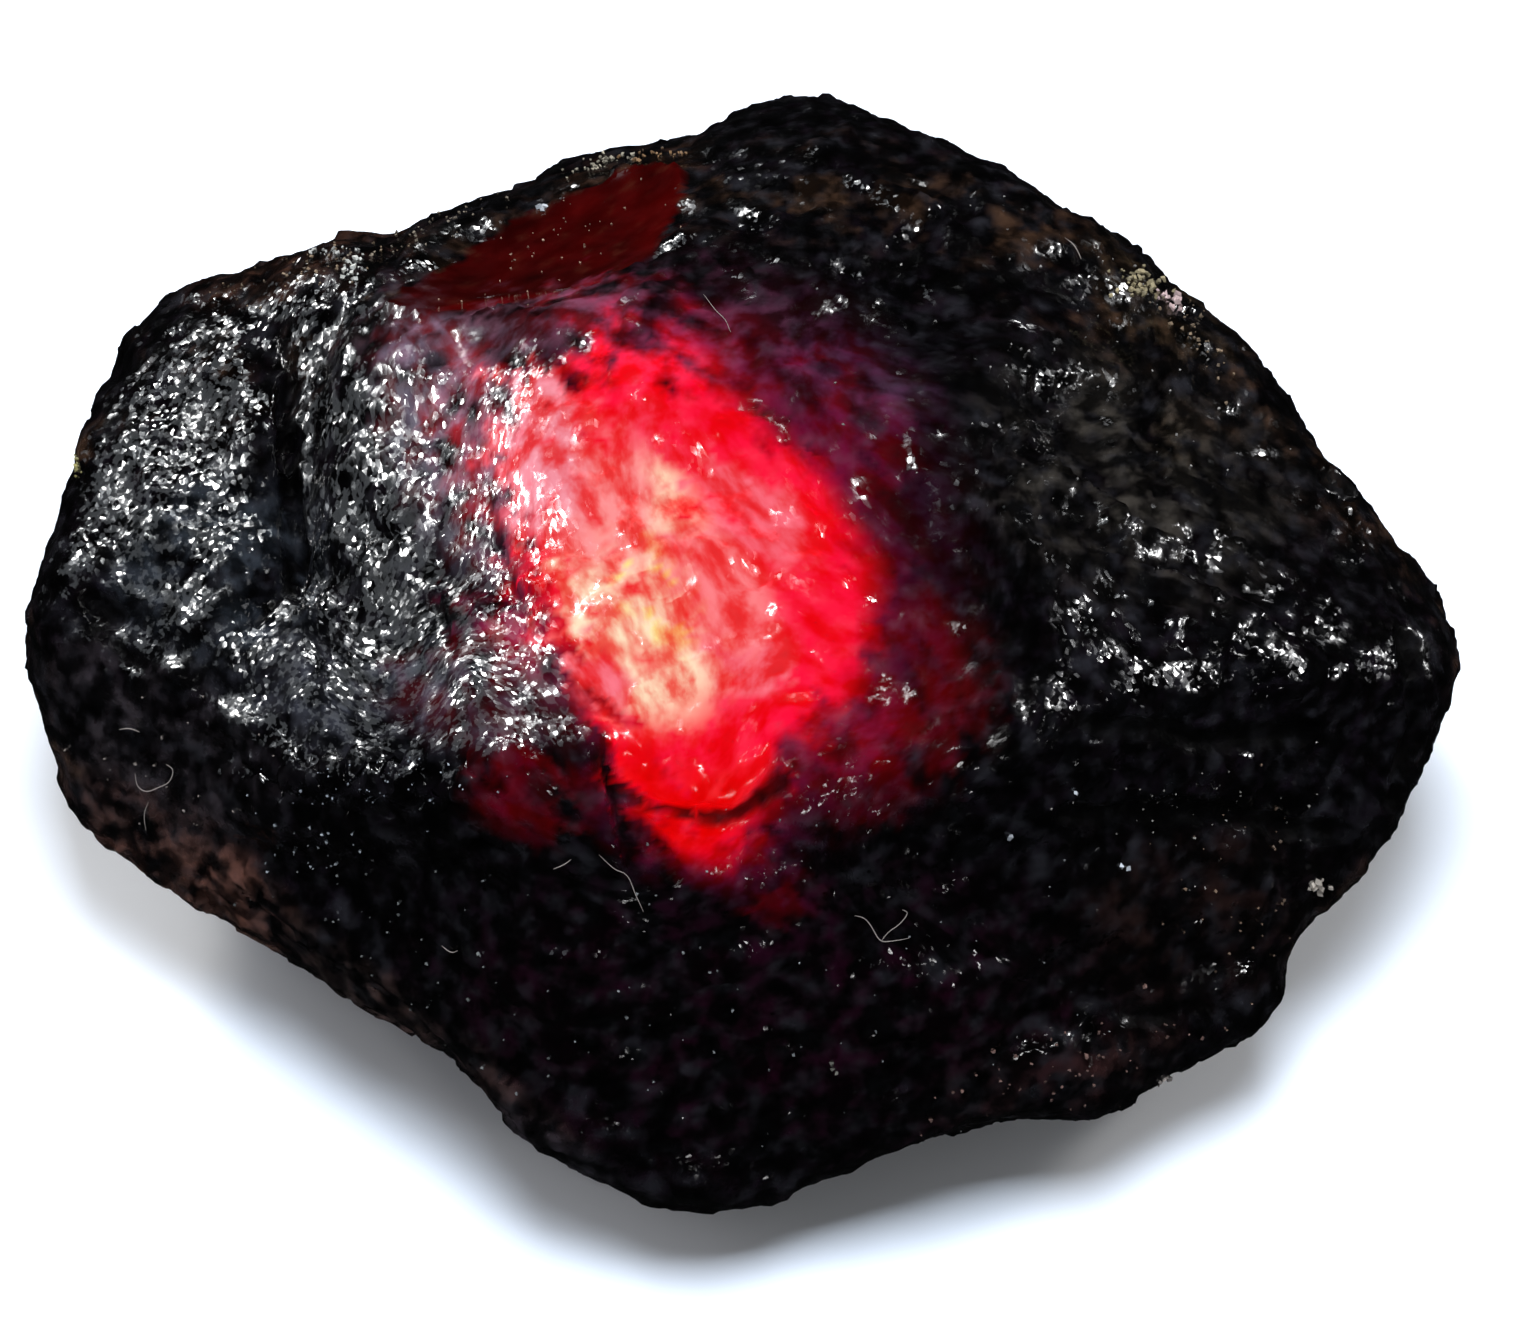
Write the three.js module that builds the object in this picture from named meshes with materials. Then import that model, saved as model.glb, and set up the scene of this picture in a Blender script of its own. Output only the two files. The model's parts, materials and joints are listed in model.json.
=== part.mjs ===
// A rough hessonite garnet: one broken, worn lump of crystal, lying on a flat fracture face.
// Millimetres, +Z up, +X to the right of its show side and +Y to its back. The origin is on the
// surface that the stone lies on, under the middle of the stone.

import * as THREE from "three";
import { ImprovedNoise } from "three/addons/math/ImprovedNoise.js";
import { mergeVertices } from "three/addons/utils/BufferGeometryUtils.js";

// Driving dimension: how long the finished stone is. Every other length below is given for a stone
// that is drawn about 42 long and 19 high, and scales with it.
const LENGTH = 42;
const HEIGHT_AS_DRAWN = 19;
const FARTHEST_AS_DRAWN = 40; // no point of the drawn stone is as far from its heart

// The show side is the one that is seen when the stone is looked down on from the front at this
// angle. Right and up across it, and near, which is straight out of it, are measured from the heart.
const SHOW_ANGLE = THREE.MathUtils.degToRad(55);
const HEART_HEIGHT = HEIGHT_AS_DRAWN / 2;

// The outline of the show side, [right, up], from the peak clockwise.
const OUTLINE = [
  [1.4, 16.3], [2.8, 16.1], [5.5, 15.1], [8.0, 13.9], [9.6, 12.8], [10.5, 12.5], [11.7, 11.7],
  [13.1, 10.2], [15.0, 8.6], [15.9, 7.4], [17.1, 5.2], [17.7, 4.9], [18.8, 3.3], [20.7, 0.4],
  [21.0, -0.5], [20.4, -2.4], [19.4, -4.6], [18.1, -6.4], [17.7, -7.3], [16.9, -7.6], [15.6, -10.0],
  [15.5, -10.8], [14.5, -11.5], [12.2, -12.1], [10.5, -13.2], [9.0, -13.7], [7.5, -13.6],
  [4.2, -14.7], [0.6, -16.1], [-1.6, -16.3], [-3.6, -16.1], [-5.4, -14.9], [-6.7, -14.2],
  [-6.9, -13.6], [-8.0, -12.4], [-9.3, -11.4], [-12.6, -9.6], [-15.1, -8.0], [-17.1, -7.0],
  [-19.1, -5.1], [-20.5, -2.7], [-20.9, -0.2], [-20.7, 1.8], [-20.1, 3.4], [-19.6, 5.2],
  [-18.9, 7.7], [-18.1, 9.3], [-15.7, 11.0], [-12.4, 12.0], [-10.3, 12.3], [-7.1, 13.4],
  [-5.7, 14.3], [-2.6, 14.9], [-1.3, 15.1], [0.0, 15.9],
];
const OUTLINE_STEPS = 720; // how many bearings its reach is kept for
const OUTLINE_SAMPLES = 8640;

// How the stone swells out of that outline: how far it would reach towards the viewer and away, how
// full its sides are, and how much the rim tips away from the viewer for each millimetre up.
const SWELL_NEAR = 18;
const SWELL_FAR = 16;
const SWELL_FULLNESS = 2.5;
const RIM_TIP = 0.3;
const SWELL_UNIT = 12;

// The flat fracture faces. through is a point on the face, [x, y, height above the bed]. lean is how
// far its outward side is turned from straight up and toward the bearing of that turn, in degrees:
// 0 is to the right, 90 to the back, 180 to the left and 270 to the front.
const SHOW_FACES = [
  { through: [0, -3, 18.6], lean: 10, toward: 285 }, // crown
  { through: [3, 10, 17.4], lean: 16, toward: 70 }, // behind the crown, to the right
  { through: [-14, 10, 14.4], lean: 36, toward: 136 }, // bevel at the back of the left end
  { through: [13, 2.6, 15.2], lean: 27, toward: 12 }, // right shoulder
  { through: [-12, -8.3, 10.9], lean: 70, toward: 234 }, // front left
  { through: [0, -13.3, 11], lean: 65, toward: 275 }, // front middle
  { through: [14, -8.2, 10.7], lean: 64, toward: 306 }, // front right
];
// The left shoulder is a shelf that ends in a low cliff, and beside it a slope that ends in a bevel
// at the back. They meet in a shallow valley, where the long groove runs.
const LEFT_SHELF = [
  { through: [-16, 1.5, 14.3], lean: 13, toward: 200 },
  { through: [-12.2, 4.4, 13.7], lean: 75, toward: 349 },
];
const LEFT_SLOPE = [
  { through: [-9, -0.4, 17.1], lean: 29, toward: 186 },
  { through: [-6, 10.2, 16.3], lean: 33, toward: 118 },
];
const HIDDEN_FACES = [
  { through: [-12.7, 14.7, 8], lean: 78, toward: 122 },
  { through: [12.4, 12.9, 7], lean: 86, toward: 56 },
  { through: [1, 14, 3], lean: 124, toward: 84 },
  { through: [-16.6, 2, 3], lean: 130, toward: 172 },
  { through: [16.2, 3, 3], lean: 124, toward: 14 },
  { through: [-10, -9, 1.8], lean: 140, toward: 232 },
  { through: [3, -13.4, 1.6], lean: 146, toward: 268 },
  { through: [13.6, -8.3, 2.2], lean: 136, toward: 318 },
];
const FACE_BLEND = 1.1; // how far the wear of an edge reaches into the faces beside it
const VALLEY_BLEND = 0.8;

// The smooth scar of a flake at the back left: a round hollow, its middle as [x, y, height].
const SCAR = { middle: [-9.6, 15.9, 30.15], radius: 16, blend: 0.15 };
const SCAR_RIM = [-0.6, 0.2]; // how the relief fades out towards the scar, in millimetres inside it

// Grooves, as lines across the show side, [right, up].
const GROOVES = [
  { line: [[-12.8, 9.0], [-13.0, 6.5], [-13.4, 4.2], [-13.3, 2.2], [-13.8, 1.2]], depth: 1.0, width: 0.8 },
  { line: [[-7.2, 5.2], [-6.9, 3.4], [-6.5, 1.8]], depth: 0.35, width: 0.5 },
];

// Ledges, as lines across the show side, [right, up]. The stone steps down on the left-hand side of
// each line as it is followed, and comes back up over its run.
const LEDGES = [
  { line: [[11.4, 2.4], [14.0, 1.1], [17.8, -0.9]], drop: 0.55, run: 2.2 },
  { line: [[17.4, -4.8], [13.4, -4.6], [9.2, -5.5]], drop: 0.5, run: 3 },
  { line: [[-20.0, 0.4], [-17.2, 0.2], [-15.6, -1.2], [-14.6, -2.8]], drop: 0.45, run: 3.5 },
  { line: [[-4.2, -2.6], [-3.8, -4.4], [-2.8, -7.2]], drop: 0.55, run: 2.4 },
  { line: [[-18.0, -5.9], [-14.4, -7.7], [-9.5, -10.2], [-6.6, -13.7], [-3.6, -15.6]], drop: -0.5, run: 1.6 },
  { line: [[7.4, -12.0], [11.6, -10.2], [14.8, -9.4]], drop: 0.5, run: 2.6 },
];
// Hollows in the show side, their middle as [right, up].
const HOLLOWS = [
  { at: [5.6, 10.4], depth: 0.7, width: 2.2 },
  { at: [9.8, 6.4], depth: 0.5, width: 1.8 },
  { at: [-18.4, 0.6], depth: 0.6, width: 1.3 },
  { at: [14.6, -3.2], depth: 0.5, width: 2.4 },
  { at: [3.4, -7.4], depth: 0.5, width: 2.0 },
  { at: [-9.4, -5.6], depth: 0.5, width: 2.2 },
];
const LEDGE_EDGE = 0.5; // how wide the riser of a ledge is, as it is seen
const LEDGE_END = 1.5; // how far from its ends a ledge fades in
const CARVING_FADE = 2; // how far in from the rim all of these reach their full depth

// The relief all over: lumps and hollows, [size across, height].
const LUMPS = [
  [7.5, 0.6],
  [3.2, 0.32],
  [1.7, 0.17],
];
const LUMP_SHIFT = new THREE.Vector3(11, 5, -3); // keeps the sizes of lump out of step
const RIM_CALM = [1, 6]; // how far from the rim the relief begins and how far it is at its full height

// The mesh: how finely the first ball is divided, how it is stretched towards the stone's form, and
// how many times its points are evened out over the skin.
const BALL_DETAIL = 21;
const BALL_STRETCH = new THREE.Vector3(1.5, 1.25, 0.95);
const HALVINGS = 24;
const EVENINGS = 24;
const EVENING_SHARE = 0.5; // how far a point moves each time towards the middle of its neighbours
const PROBE = 0.02; // the step over which a field's slope is measured
const SAME_POINT = 1e-4; // corners of the ball nearer than this are one point
const ON_BED = 1e-3; // points this near the bed are laid on it exactly

const noise = new ImprovedNoise();
const smooth = THREE.MathUtils.smoothstep;

// The larger of two depths, rounded off where they are within reach of each other.
function blendMax(a, b, reach) {
  const near = Math.max(reach - Math.abs(a - b), 0) / reach;
  return Math.max(a, b) + (near * near * reach) / 4;
}

// The bearing of a place on the show side, as a share of a whole turn.
function turnOf(right, up) {
  return (Math.atan2(up, right) / (2 * Math.PI) + 1) % 1;
}

// The distance from the heart to the outline at OUTLINE_STEPS bearings, along a smooth closed curve.
function outlineReaches() {
  const corners = OUTLINE.map(([right, up]) => new THREE.Vector3(right, up, 0));
  const curve = new THREE.CatmullRomCurve3(corners, true, "centripetal");
  const reaches = new Array(OUTLINE_STEPS).fill(0);
  for (let i = 0; i < OUTLINE_SAMPLES; i++) {
    const p = curve.getPoint(i / OUTLINE_SAMPLES);
    const step = Math.floor(turnOf(p.x, p.y) * OUTLINE_STEPS);
    reaches[step] = Math.max(reaches[step], Math.hypot(p.x, p.y));
  }
  return reaches;
}
const REACHES = outlineReaches();

function outlineReach(right, up) {
  const at = turnOf(right, up) * OUTLINE_STEPS - 0.5;
  const low = Math.floor(at);
  const a = REACHES[(low + OUTLINE_STEPS) % OUTLINE_STEPS];
  const b = REACHES[(low + 1) % OUTLINE_STEPS];
  return a + (b - a) * (at - low);
}

// A point measured from the heart, as right, up and near on the show side.
function onShowSide(p) {
  const [s, c] = [Math.sin(SHOW_ANGLE), Math.cos(SHOW_ANGLE)];
  return { right: p.x, up: p.y * s + p.z * c, near: p.z * s - p.y * c };
}

// Each field below is negative inside the stone and positive outside it, in millimetres or nearly.
function swellField({ right, up, near }) {
  const out = Math.hypot(right, up) / outlineReach(right, up);
  const lift = near + RIM_TIP * up;
  const swell = Math.abs(lift) / (lift > 0 ? SWELL_NEAR : SWELL_FAR);
  const filled = (out ** SWELL_FULLNESS + swell ** SWELL_FULLNESS) ** (1 / SWELL_FULLNESS);
  return (filled - 1) * SWELL_UNIT;
}

function planeOf({ through, lean, toward }) {
  const [tilt, bearing] = [lean, toward].map(THREE.MathUtils.degToRad);
  const out = new THREE.Vector3(
    Math.sin(tilt) * Math.cos(bearing),
    Math.sin(tilt) * Math.sin(bearing),
    Math.cos(tilt),
  );
  const [x, y, height] = through;
  const point = new THREE.Vector3(x, y, height - HEART_HEIGHT);
  return new THREE.Plane().setFromNormalAndCoplanarPoint(out, point);
}
const PLANES = [...SHOW_FACES, ...HIDDEN_FACES].map(planeOf);
const SHELF_PLANES = LEFT_SHELF.map(planeOf);
const SLOPE_PLANES = LEFT_SLOPE.map(planeOf);

// How far a point is outside the body that some planes enclose.
function behindPlanes(planes, p) {
  return planes.reduce((field, plane) => blendMax(field, plane.distanceToPoint(p), FACE_BLEND), -Infinity);
}

function facesField(p) {
  const valley = -blendMax(-behindPlanes(SHELF_PLANES, p), -behindPlanes(SLOPE_PLANES, p), VALLEY_BLEND);
  return blendMax(behindPlanes(PLANES, p), valley, FACE_BLEND);
}

// How high the lumps are at a point. They leave the rim alone, so that it keeps to the outline.
function lumpsHeight(p) {
  const { up, near } = onShowSide(p);
  const height = LUMPS.reduce((sum, [size, high], i) => {
    const q = p.clone().divideScalar(size).addScaledVector(LUMP_SHIFT, i);
    return sum + high * noise.noise(q.x, q.y, q.z);
  }, 0);
  return height * smooth(Math.abs(near + RIM_TIP * up), ...RIM_CALM);
}

const SCAR_MIDDLE = new THREE.Vector3(...SCAR.middle).setZ(SCAR.middle[2] - HEART_HEIGHT);

// The whole stone, before its grooves and ledges are carved.
function stoneField(p) {
  const body = blendMax(swellField(onShowSide(p)), facesField(p), FACE_BLEND);
  const scar = SCAR.radius - p.distanceTo(SCAR_MIDDLE);
  const lumps = lumpsHeight(p) * (1 - smooth(scar - body, ...SCAR_RIM));
  return Math.max(blendMax(body - lumps, scar, SCAR.blend), -HEART_HEIGHT - p.z);
}

// Where a point of the show side lies beside a line: how far from it, on which side, and how far
// from the line's nearer end.
function besideLine(line, right, up) {
  let best = { away: Infinity, side: 1, fromEnd: 0 };
  let passed = 0;
  const lengths = line.slice(1).map(([x, y], i) => Math.hypot(x - line[i][0], y - line[i][1]));
  const whole = lengths.reduce((a, b) => a + b, 0);
  lengths.forEach((length, i) => {
    const [x0, y0] = line[i];
    const [dx, dy] = [(line[i + 1][0] - x0) / length, (line[i + 1][1] - y0) / length];
    const along = THREE.MathUtils.clamp((right - x0) * dx + (up - y0) * dy, 0, length);
    const away = Math.hypot(right - x0 - dx * along, up - y0 - dy * along);
    if (away < best.away) {
      const side = Math.sign(dx * (up - y0) - dy * (right - x0)) || 1;
      const at = passed + along;
      best = { away, side, fromEnd: Math.min(at, whole - at) };
    }
    passed += length;
  });
  return best;
}

function groovesDepth(right, up) {
  return GROOVES.reduce((sum, { line, depth, width }) => {
    const { away } = besideLine(line, right, up);
    return sum + depth * Math.exp(-((away / width) ** 2));
  }, 0);
}

function ledgesDepth(right, up) {
  return LEDGES.reduce((sum, { line, drop, run }) => {
    const { away, side, fromEnd } = besideLine(line, right, up);
    const across = smooth(side * away, -LEDGE_EDGE / 2, LEDGE_EDGE / 2);
    const fade = smooth(fromEnd, 0, LEDGE_END) * Math.max(0, 1 - away / run);
    return sum + drop * across * fade;
  }, 0);
}

function hollowsDepth(right, up) {
  return HOLLOWS.reduce((sum, { at: [x, y], depth, width }) => {
    const away = Math.hypot(right - x, up - y);
    return sum + depth * Math.exp(-((away / width) ** 2));
  }, 0);
}

// How deep the grooves, ledges and hollows cut in at a point of the skin.
function carvingDepth(p) {
  const { right, up, near } = onShowSide(p);
  const facing = smooth(near + RIM_TIP * up, 0, CARVING_FADE);
  const depths = [groovesDepth, ledgesDepth, hollowsDepth].map((depth) => depth(right, up));
  return facing * depths.reduce((a, b) => a + b, 0);
}

// How far the stone reaches from its heart in one direction.
function reachOf(direction) {
  const p = new THREE.Vector3();
  let [inside, outside] = [0, FARTHEST_AS_DRAWN];
  for (let i = 0; i < HALVINGS; i++) {
    const middle = (inside + outside) / 2;
    if (stoneField(p.copy(direction).multiplyScalar(middle)) < 0) inside = middle;
    else outside = middle;
  }
  return inside;
}

// The way out of the stone at a point, as long as the field's slope there.
function slopeAt(p) {
  const here = stoneField(p);
  const stepped = (x, y, z) => (stoneField(new THREE.Vector3(p.x + x, p.y + y, p.z + z)) - here) / PROBE;
  return new THREE.Vector3(stepped(PROBE, 0, 0), stepped(0, PROBE, 0), stepped(0, 0, PROBE));
}

function moveToSkin(p) {
  const slope = slopeAt(p);
  return p.addScaledVector(slope, -stoneField(p) / slope.lengthSq());
}

function neighboursOf(skin, count) {
  const neighbours = Array.from({ length: count }, () => new Set());
  const corners = skin.index.array;
  for (let i = 0; i < corners.length; i += 3) {
    const face = [corners[i], corners[i + 1], corners[i + 2]];
    face.forEach((a) => face.forEach((b) => a !== b && neighbours[a].add(b)));
  }
  return neighbours.map((set) => [...set]);
}

// Evens the points out over the skin, each towards the middle of its neighbours.
function evenOut(points, neighbours) {
  for (let round = 0; round < EVENINGS; round++) {
    const middles = neighbours.map((around) =>
      around
        .reduce((sum, i) => sum.add(points[i]), new THREE.Vector3())
        .divideScalar(around.length),
    );
    points.forEach((p, i) => moveToSkin(p.lerp(middles[i], EVENING_SHARE)));
  }
  points.forEach((p) => moveToSkin(moveToSkin(p)));
}

function dividedBall() {
  const ball = new THREE.IcosahedronGeometry(1, BALL_DETAIL);
  ball.deleteAttribute("normal");
  ball.deleteAttribute("uv");
  return mergeVertices(ball, SAME_POINT);
}

// The point of the stone's skin that a point of the ball goes to.
function skinPoint(ballPoint) {
  const direction = ballPoint.clone().multiply(BALL_STRETCH).normalize();
  return direction.multiplyScalar(reachOf(direction));
}

function carve(p) {
  if (p.z + HEART_HEIGHT < ON_BED) return p.setZ(-HEART_HEIGHT);
  return p.addScaledVector(slopeAt(p).normalize(), -carvingDepth(p));
}

// Sets the skin to its full length, with the bed at zero under the middle of the stone.
function setOnBed(skin) {
  skin.computeBoundingBox();
  const { min, max } = skin.boundingBox;
  const scale = LENGTH / (max.x - min.x);
  skin.translate(-(min.x + max.x) / 2, -(min.y + max.y) / 2, HEART_HEIGHT);
  skin.scale(scale, scale, scale);
}

// The stone's skin: a finely divided ball, its points moved out to the skin, evened out and carved.
function stoneGeometry() {
  const skin = dividedBall();
  const places = skin.getAttribute("position");
  const points = Array.from({ length: places.count }, (_, i) =>
    skinPoint(new THREE.Vector3().fromBufferAttribute(places, i)),
  );
  evenOut(points, neighboursOf(skin, places.count));
  points.map(carve).forEach((p, i) => places.setXYZ(i, p.x, p.y, p.z));
  setOnBed(skin);
  skin.computeVertexNormals();
  return skin;
}

const garnetSkin = new THREE.MeshStandardMaterial({
  color: new THREE.Color(0.06, 0.012, 0.014),
  roughness: 0.3,
  metalness: 0,
});

const stone = new THREE.Mesh(stoneGeometry(), garnetSkin);
stone.name = "garnet";

const part = new THREE.Group();
part.add(stone);

export default part;
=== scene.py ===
"""Dresses the solid of a rough hessonite garnet and shows it on a pale table.

The stone's fine fracture surface is modelled over a copy of its solid. Its crystal is see-through and
very dark, a worn crust clings to its rims, and a painted glow in its crown stands in for light that
shines through the stone. Painted sheen and pale grains stand in for some dull reflections and glints.
"""

import json
import logging
import math
from dataclasses import dataclass
from enum import Enum
from typing import Any, Mapping, Sequence

import bpy
import numpy as np
from mathutils import Matrix, Vector, kdtree, noise
from mathutils.bvhtree import BVHTree

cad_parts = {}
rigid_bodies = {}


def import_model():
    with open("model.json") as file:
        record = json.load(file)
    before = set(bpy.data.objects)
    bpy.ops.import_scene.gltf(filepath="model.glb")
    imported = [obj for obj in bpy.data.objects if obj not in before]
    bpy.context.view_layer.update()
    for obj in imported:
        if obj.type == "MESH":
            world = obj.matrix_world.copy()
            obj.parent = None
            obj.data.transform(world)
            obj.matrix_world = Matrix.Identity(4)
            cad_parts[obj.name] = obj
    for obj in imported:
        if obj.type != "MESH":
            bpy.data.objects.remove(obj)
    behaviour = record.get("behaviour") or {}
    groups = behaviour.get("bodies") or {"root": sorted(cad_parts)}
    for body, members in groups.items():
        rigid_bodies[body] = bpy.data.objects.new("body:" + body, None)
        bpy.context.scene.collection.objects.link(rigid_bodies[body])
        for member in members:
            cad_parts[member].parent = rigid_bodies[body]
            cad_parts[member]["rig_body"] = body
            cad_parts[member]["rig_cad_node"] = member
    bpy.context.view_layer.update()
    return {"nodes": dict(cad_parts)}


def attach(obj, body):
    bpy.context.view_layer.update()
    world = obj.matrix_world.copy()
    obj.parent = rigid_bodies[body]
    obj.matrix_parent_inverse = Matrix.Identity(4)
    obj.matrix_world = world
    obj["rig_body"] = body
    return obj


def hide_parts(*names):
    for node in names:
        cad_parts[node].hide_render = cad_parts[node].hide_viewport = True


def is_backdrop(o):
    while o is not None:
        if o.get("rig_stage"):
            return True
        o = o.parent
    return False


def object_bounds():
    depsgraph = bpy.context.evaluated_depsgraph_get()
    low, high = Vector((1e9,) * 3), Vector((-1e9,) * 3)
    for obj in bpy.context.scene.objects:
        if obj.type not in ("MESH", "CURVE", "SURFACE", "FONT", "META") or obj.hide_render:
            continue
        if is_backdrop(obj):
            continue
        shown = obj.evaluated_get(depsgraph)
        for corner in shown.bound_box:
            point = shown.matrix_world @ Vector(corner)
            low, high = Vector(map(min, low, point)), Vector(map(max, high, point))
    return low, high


LOG = logging.getLogger("garnet")
MM = 0.001
CAD_NODE = "garnet"
BODY = "root"

Mark = tuple[float, float]
Span = tuple[float, float]
Place = tuple[float, float, float]
Colour = tuple[float, float, float]


# What the picture shows


@dataclass(frozen=True)
class ShowSide:
    """The side of the stone that is shown, as a picture of 1516 by 1318 sees it.

    A mark is [across, down] in that picture. The heart is the point of the stone behind heart_mark.
    """

    heart: Place = (-0.02 * MM, -1.05 * MM, 9.53 * MM)
    heart_mark: Mark = (744, 646)
    tilt: float = math.radians(55)
    pitch: float = 0.0294 * MM
    width: int = 1516
    height: int = 1318

    @property
    def right(self) -> Vector:
        """The way across the picture."""
        return Vector((1, 0, 0))

    @property
    def up(self) -> Vector:
        """The way up the picture."""
        return Vector((0, math.sin(self.tilt), math.cos(self.tilt)))

    @property
    def out(self) -> Vector:
        """The way out of the picture, to the viewer."""
        return Vector((0, -math.cos(self.tilt), math.sin(self.tilt)))

    def place(self, mark: Mark, near: float = 0) -> Vector:
        """Gives the point behind a mark.

        Args:
            mark: The mark, [across, down].
            near: How far the point is before the heart, in metres.

        Returns:
            The point, in metres.
        """
        across = (mark[0] - self.heart_mark[0]) * self.pitch
        rise = (self.heart_mark[1] - mark[1]) * self.pitch
        return Vector(self.heart) + self.right * across + self.up * rise + self.out * near

    def marks(self, points: np.ndarray) -> tuple[np.ndarray, np.ndarray, np.ndarray]:
        """Gives what marks points are behind.

        Args:
            points: The points, one to a row.

        Returns:
            How far across and down each one is, and its nearness in metres.
        """
        offset = points - np.array(self.heart)
        across = offset @ np.array(self.right) / self.pitch + self.heart_mark[0]
        down = self.heart_mark[1] - offset @ np.array(self.up) / self.pitch
        return across, down, offset @ np.array(self.out)


SHOW = ShowSide()
KEY_WAY: Place = (-0.45, 0.62, 0.64)
RIGHT_WAY: Place = (0.8, 0.35, 0.5)
FRONT_WAY: Place = (0.25, -0.65, 0.7)


def mirror_to(way: Place) -> np.ndarray:
    """Gives the way that a facet faces where it mirrors light from a way to the viewer."""
    facing = (Vector(way).normalized() + SHOW.out).normalized()
    return np.array(facing)


def eased(value: np.ndarray, low: float, high: float) -> np.ndarray:
    """Rises smoothly from 0 at low to 1 at high."""
    share = np.clip((value - low) / (high - low), 0, 1)
    return share * share * (3 - 2 * share)


@dataclass(frozen=True)
class Patch:
    """An oval on the shown side that fades out towards its edge.

    Its middle and its reach are in the picture's units, its turn in degrees from the way across.
    """

    middle: Mark
    reach: Mark
    turn: float = 0
    soft: float = 0.6

    def share(self, across: np.ndarray, down: np.ndarray) -> np.ndarray:
        """Gives how much of the patch is at each mark.

        Args:
            across: How far across the picture each mark is.
            down: How far down it is.

        Returns:
            The shares, from 0 to 1.
        """
        cosine = math.cos(math.radians(self.turn))
        sine = math.sin(math.radians(self.turn))
        x = across - self.middle[0]
        y = down - self.middle[1]
        along = (x * cosine + y * sine) / self.reach[0]
        aside = (y * cosine - x * sine) / self.reach[1]
        return 1 - eased(along * along + aside * aside, 1 - self.soft, 1)


Weighted = Sequence[tuple[Sequence[Patch], float]]


class Profile(Enum):
    """The ways a stroke changes the surface that it runs over."""

    GROOVE = "groove"
    LEDGE = "ledge"


@dataclass(frozen=True)
class Stroke:
    """A line of relief on the shown side, through marks.

    A groove is width marks from its line to its edge. A ledge is sharp along its line and fades out over
    its width, to the right of the way the line runs. Its depth is in metres and is negative where it cuts.
    """

    marks: tuple[Mark, ...]
    width: float
    depth: float
    profile: Profile = Profile.GROOVE

    def height(self, across: np.ndarray, down: np.ndarray) -> np.ndarray:
        """Gives the height that the stroke adds at each mark.

        Args:
            across: How far across the picture each mark is.
            down: How far down it is.

        Returns:
            The heights, in metres.
        """
        reach, side = self.distance(across, down)
        if self.profile is Profile.GROOVE:
            return self.depth * (1 - eased(reach, 0, self.width))
        return self.depth * np.where(side > 0, np.clip(1 - reach / self.width, 0, 1), 0)

    def distance(self, across: np.ndarray, down: np.ndarray) -> tuple[np.ndarray, np.ndarray]:
        """Gives how far each mark is from the line.

        Args:
            across: How far across the picture each mark is.
            down: How far down it is.

        Returns:
            The distances in marks, and which side of the line each mark is on, by sign.
        """
        least = np.full(len(across), np.inf)
        side = np.zeros(len(across))
        for (x0, y0), (x1, y1) in zip(self.marks, self.marks[1:]):
            run = (x1 - x0, y1 - y0)
            x = across - x0
            y = down - y0
            share = np.clip((x * run[0] + y * run[1]) / (run[0] ** 2 + run[1] ** 2), 0, 1)
            reach = np.hypot(x - share * run[0], y - share * run[1])
            nearer = reach < least
            least = np.where(nearer, reach, least)
            side = np.where(nearer, run[0] * y - run[1] * x, side)
        return least, side


# Shader maths


class Field:
    """A number that varies over a surface, as the output of a shader node."""

    def __init__(self, shader: "Shader", socket: bpy.types.NodeSocket) -> None:
        """Wraps an output of a shader's tree."""
        self.shader = shader
        self.socket = socket

    def _math(self, operation: str, other: "Field | float") -> "Field":
        """Adds a Math node that works on this field and another, or a number."""
        return self.shader.field("ShaderNodeMath", {"operation": operation}, {0: self, 1: other})

    def __add__(self, other: "Field | float") -> "Field":
        """Adds."""
        return self._math("ADD", other)

    def __radd__(self, other: float) -> "Field":
        """Adds to a number."""
        return self._math("ADD", other)

    def __sub__(self, other: "Field | float") -> "Field":
        """Subtracts."""
        return self._math("SUBTRACT", other)

    def __rsub__(self, other: float) -> "Field":
        """Subtracts from a number."""
        return self.shader.field("ShaderNodeMath", {"operation": "SUBTRACT"}, {0: other, 1: self})

    def __mul__(self, other: "Field | float") -> "Field":
        """Multiplies."""
        return self._math("MULTIPLY", other)

    def __rmul__(self, other: float) -> "Field":
        """Multiplies a number."""
        return self._math("MULTIPLY", other)

    def eased(self, low: float, high: float) -> "Field":
        """Rises smoothly from 0 at low to 1 at high.

        Args:
            low: Where the rise starts.
            high: Where it ends.

        Returns:
            The rising field.
        """
        settings = {"interpolation_type": "SMOOTHSTEP"}
        inputs = {"Value": self, "From Min": low, "From Max": high}
        return self.shader.field("ShaderNodeMapRange", settings, inputs)


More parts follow.
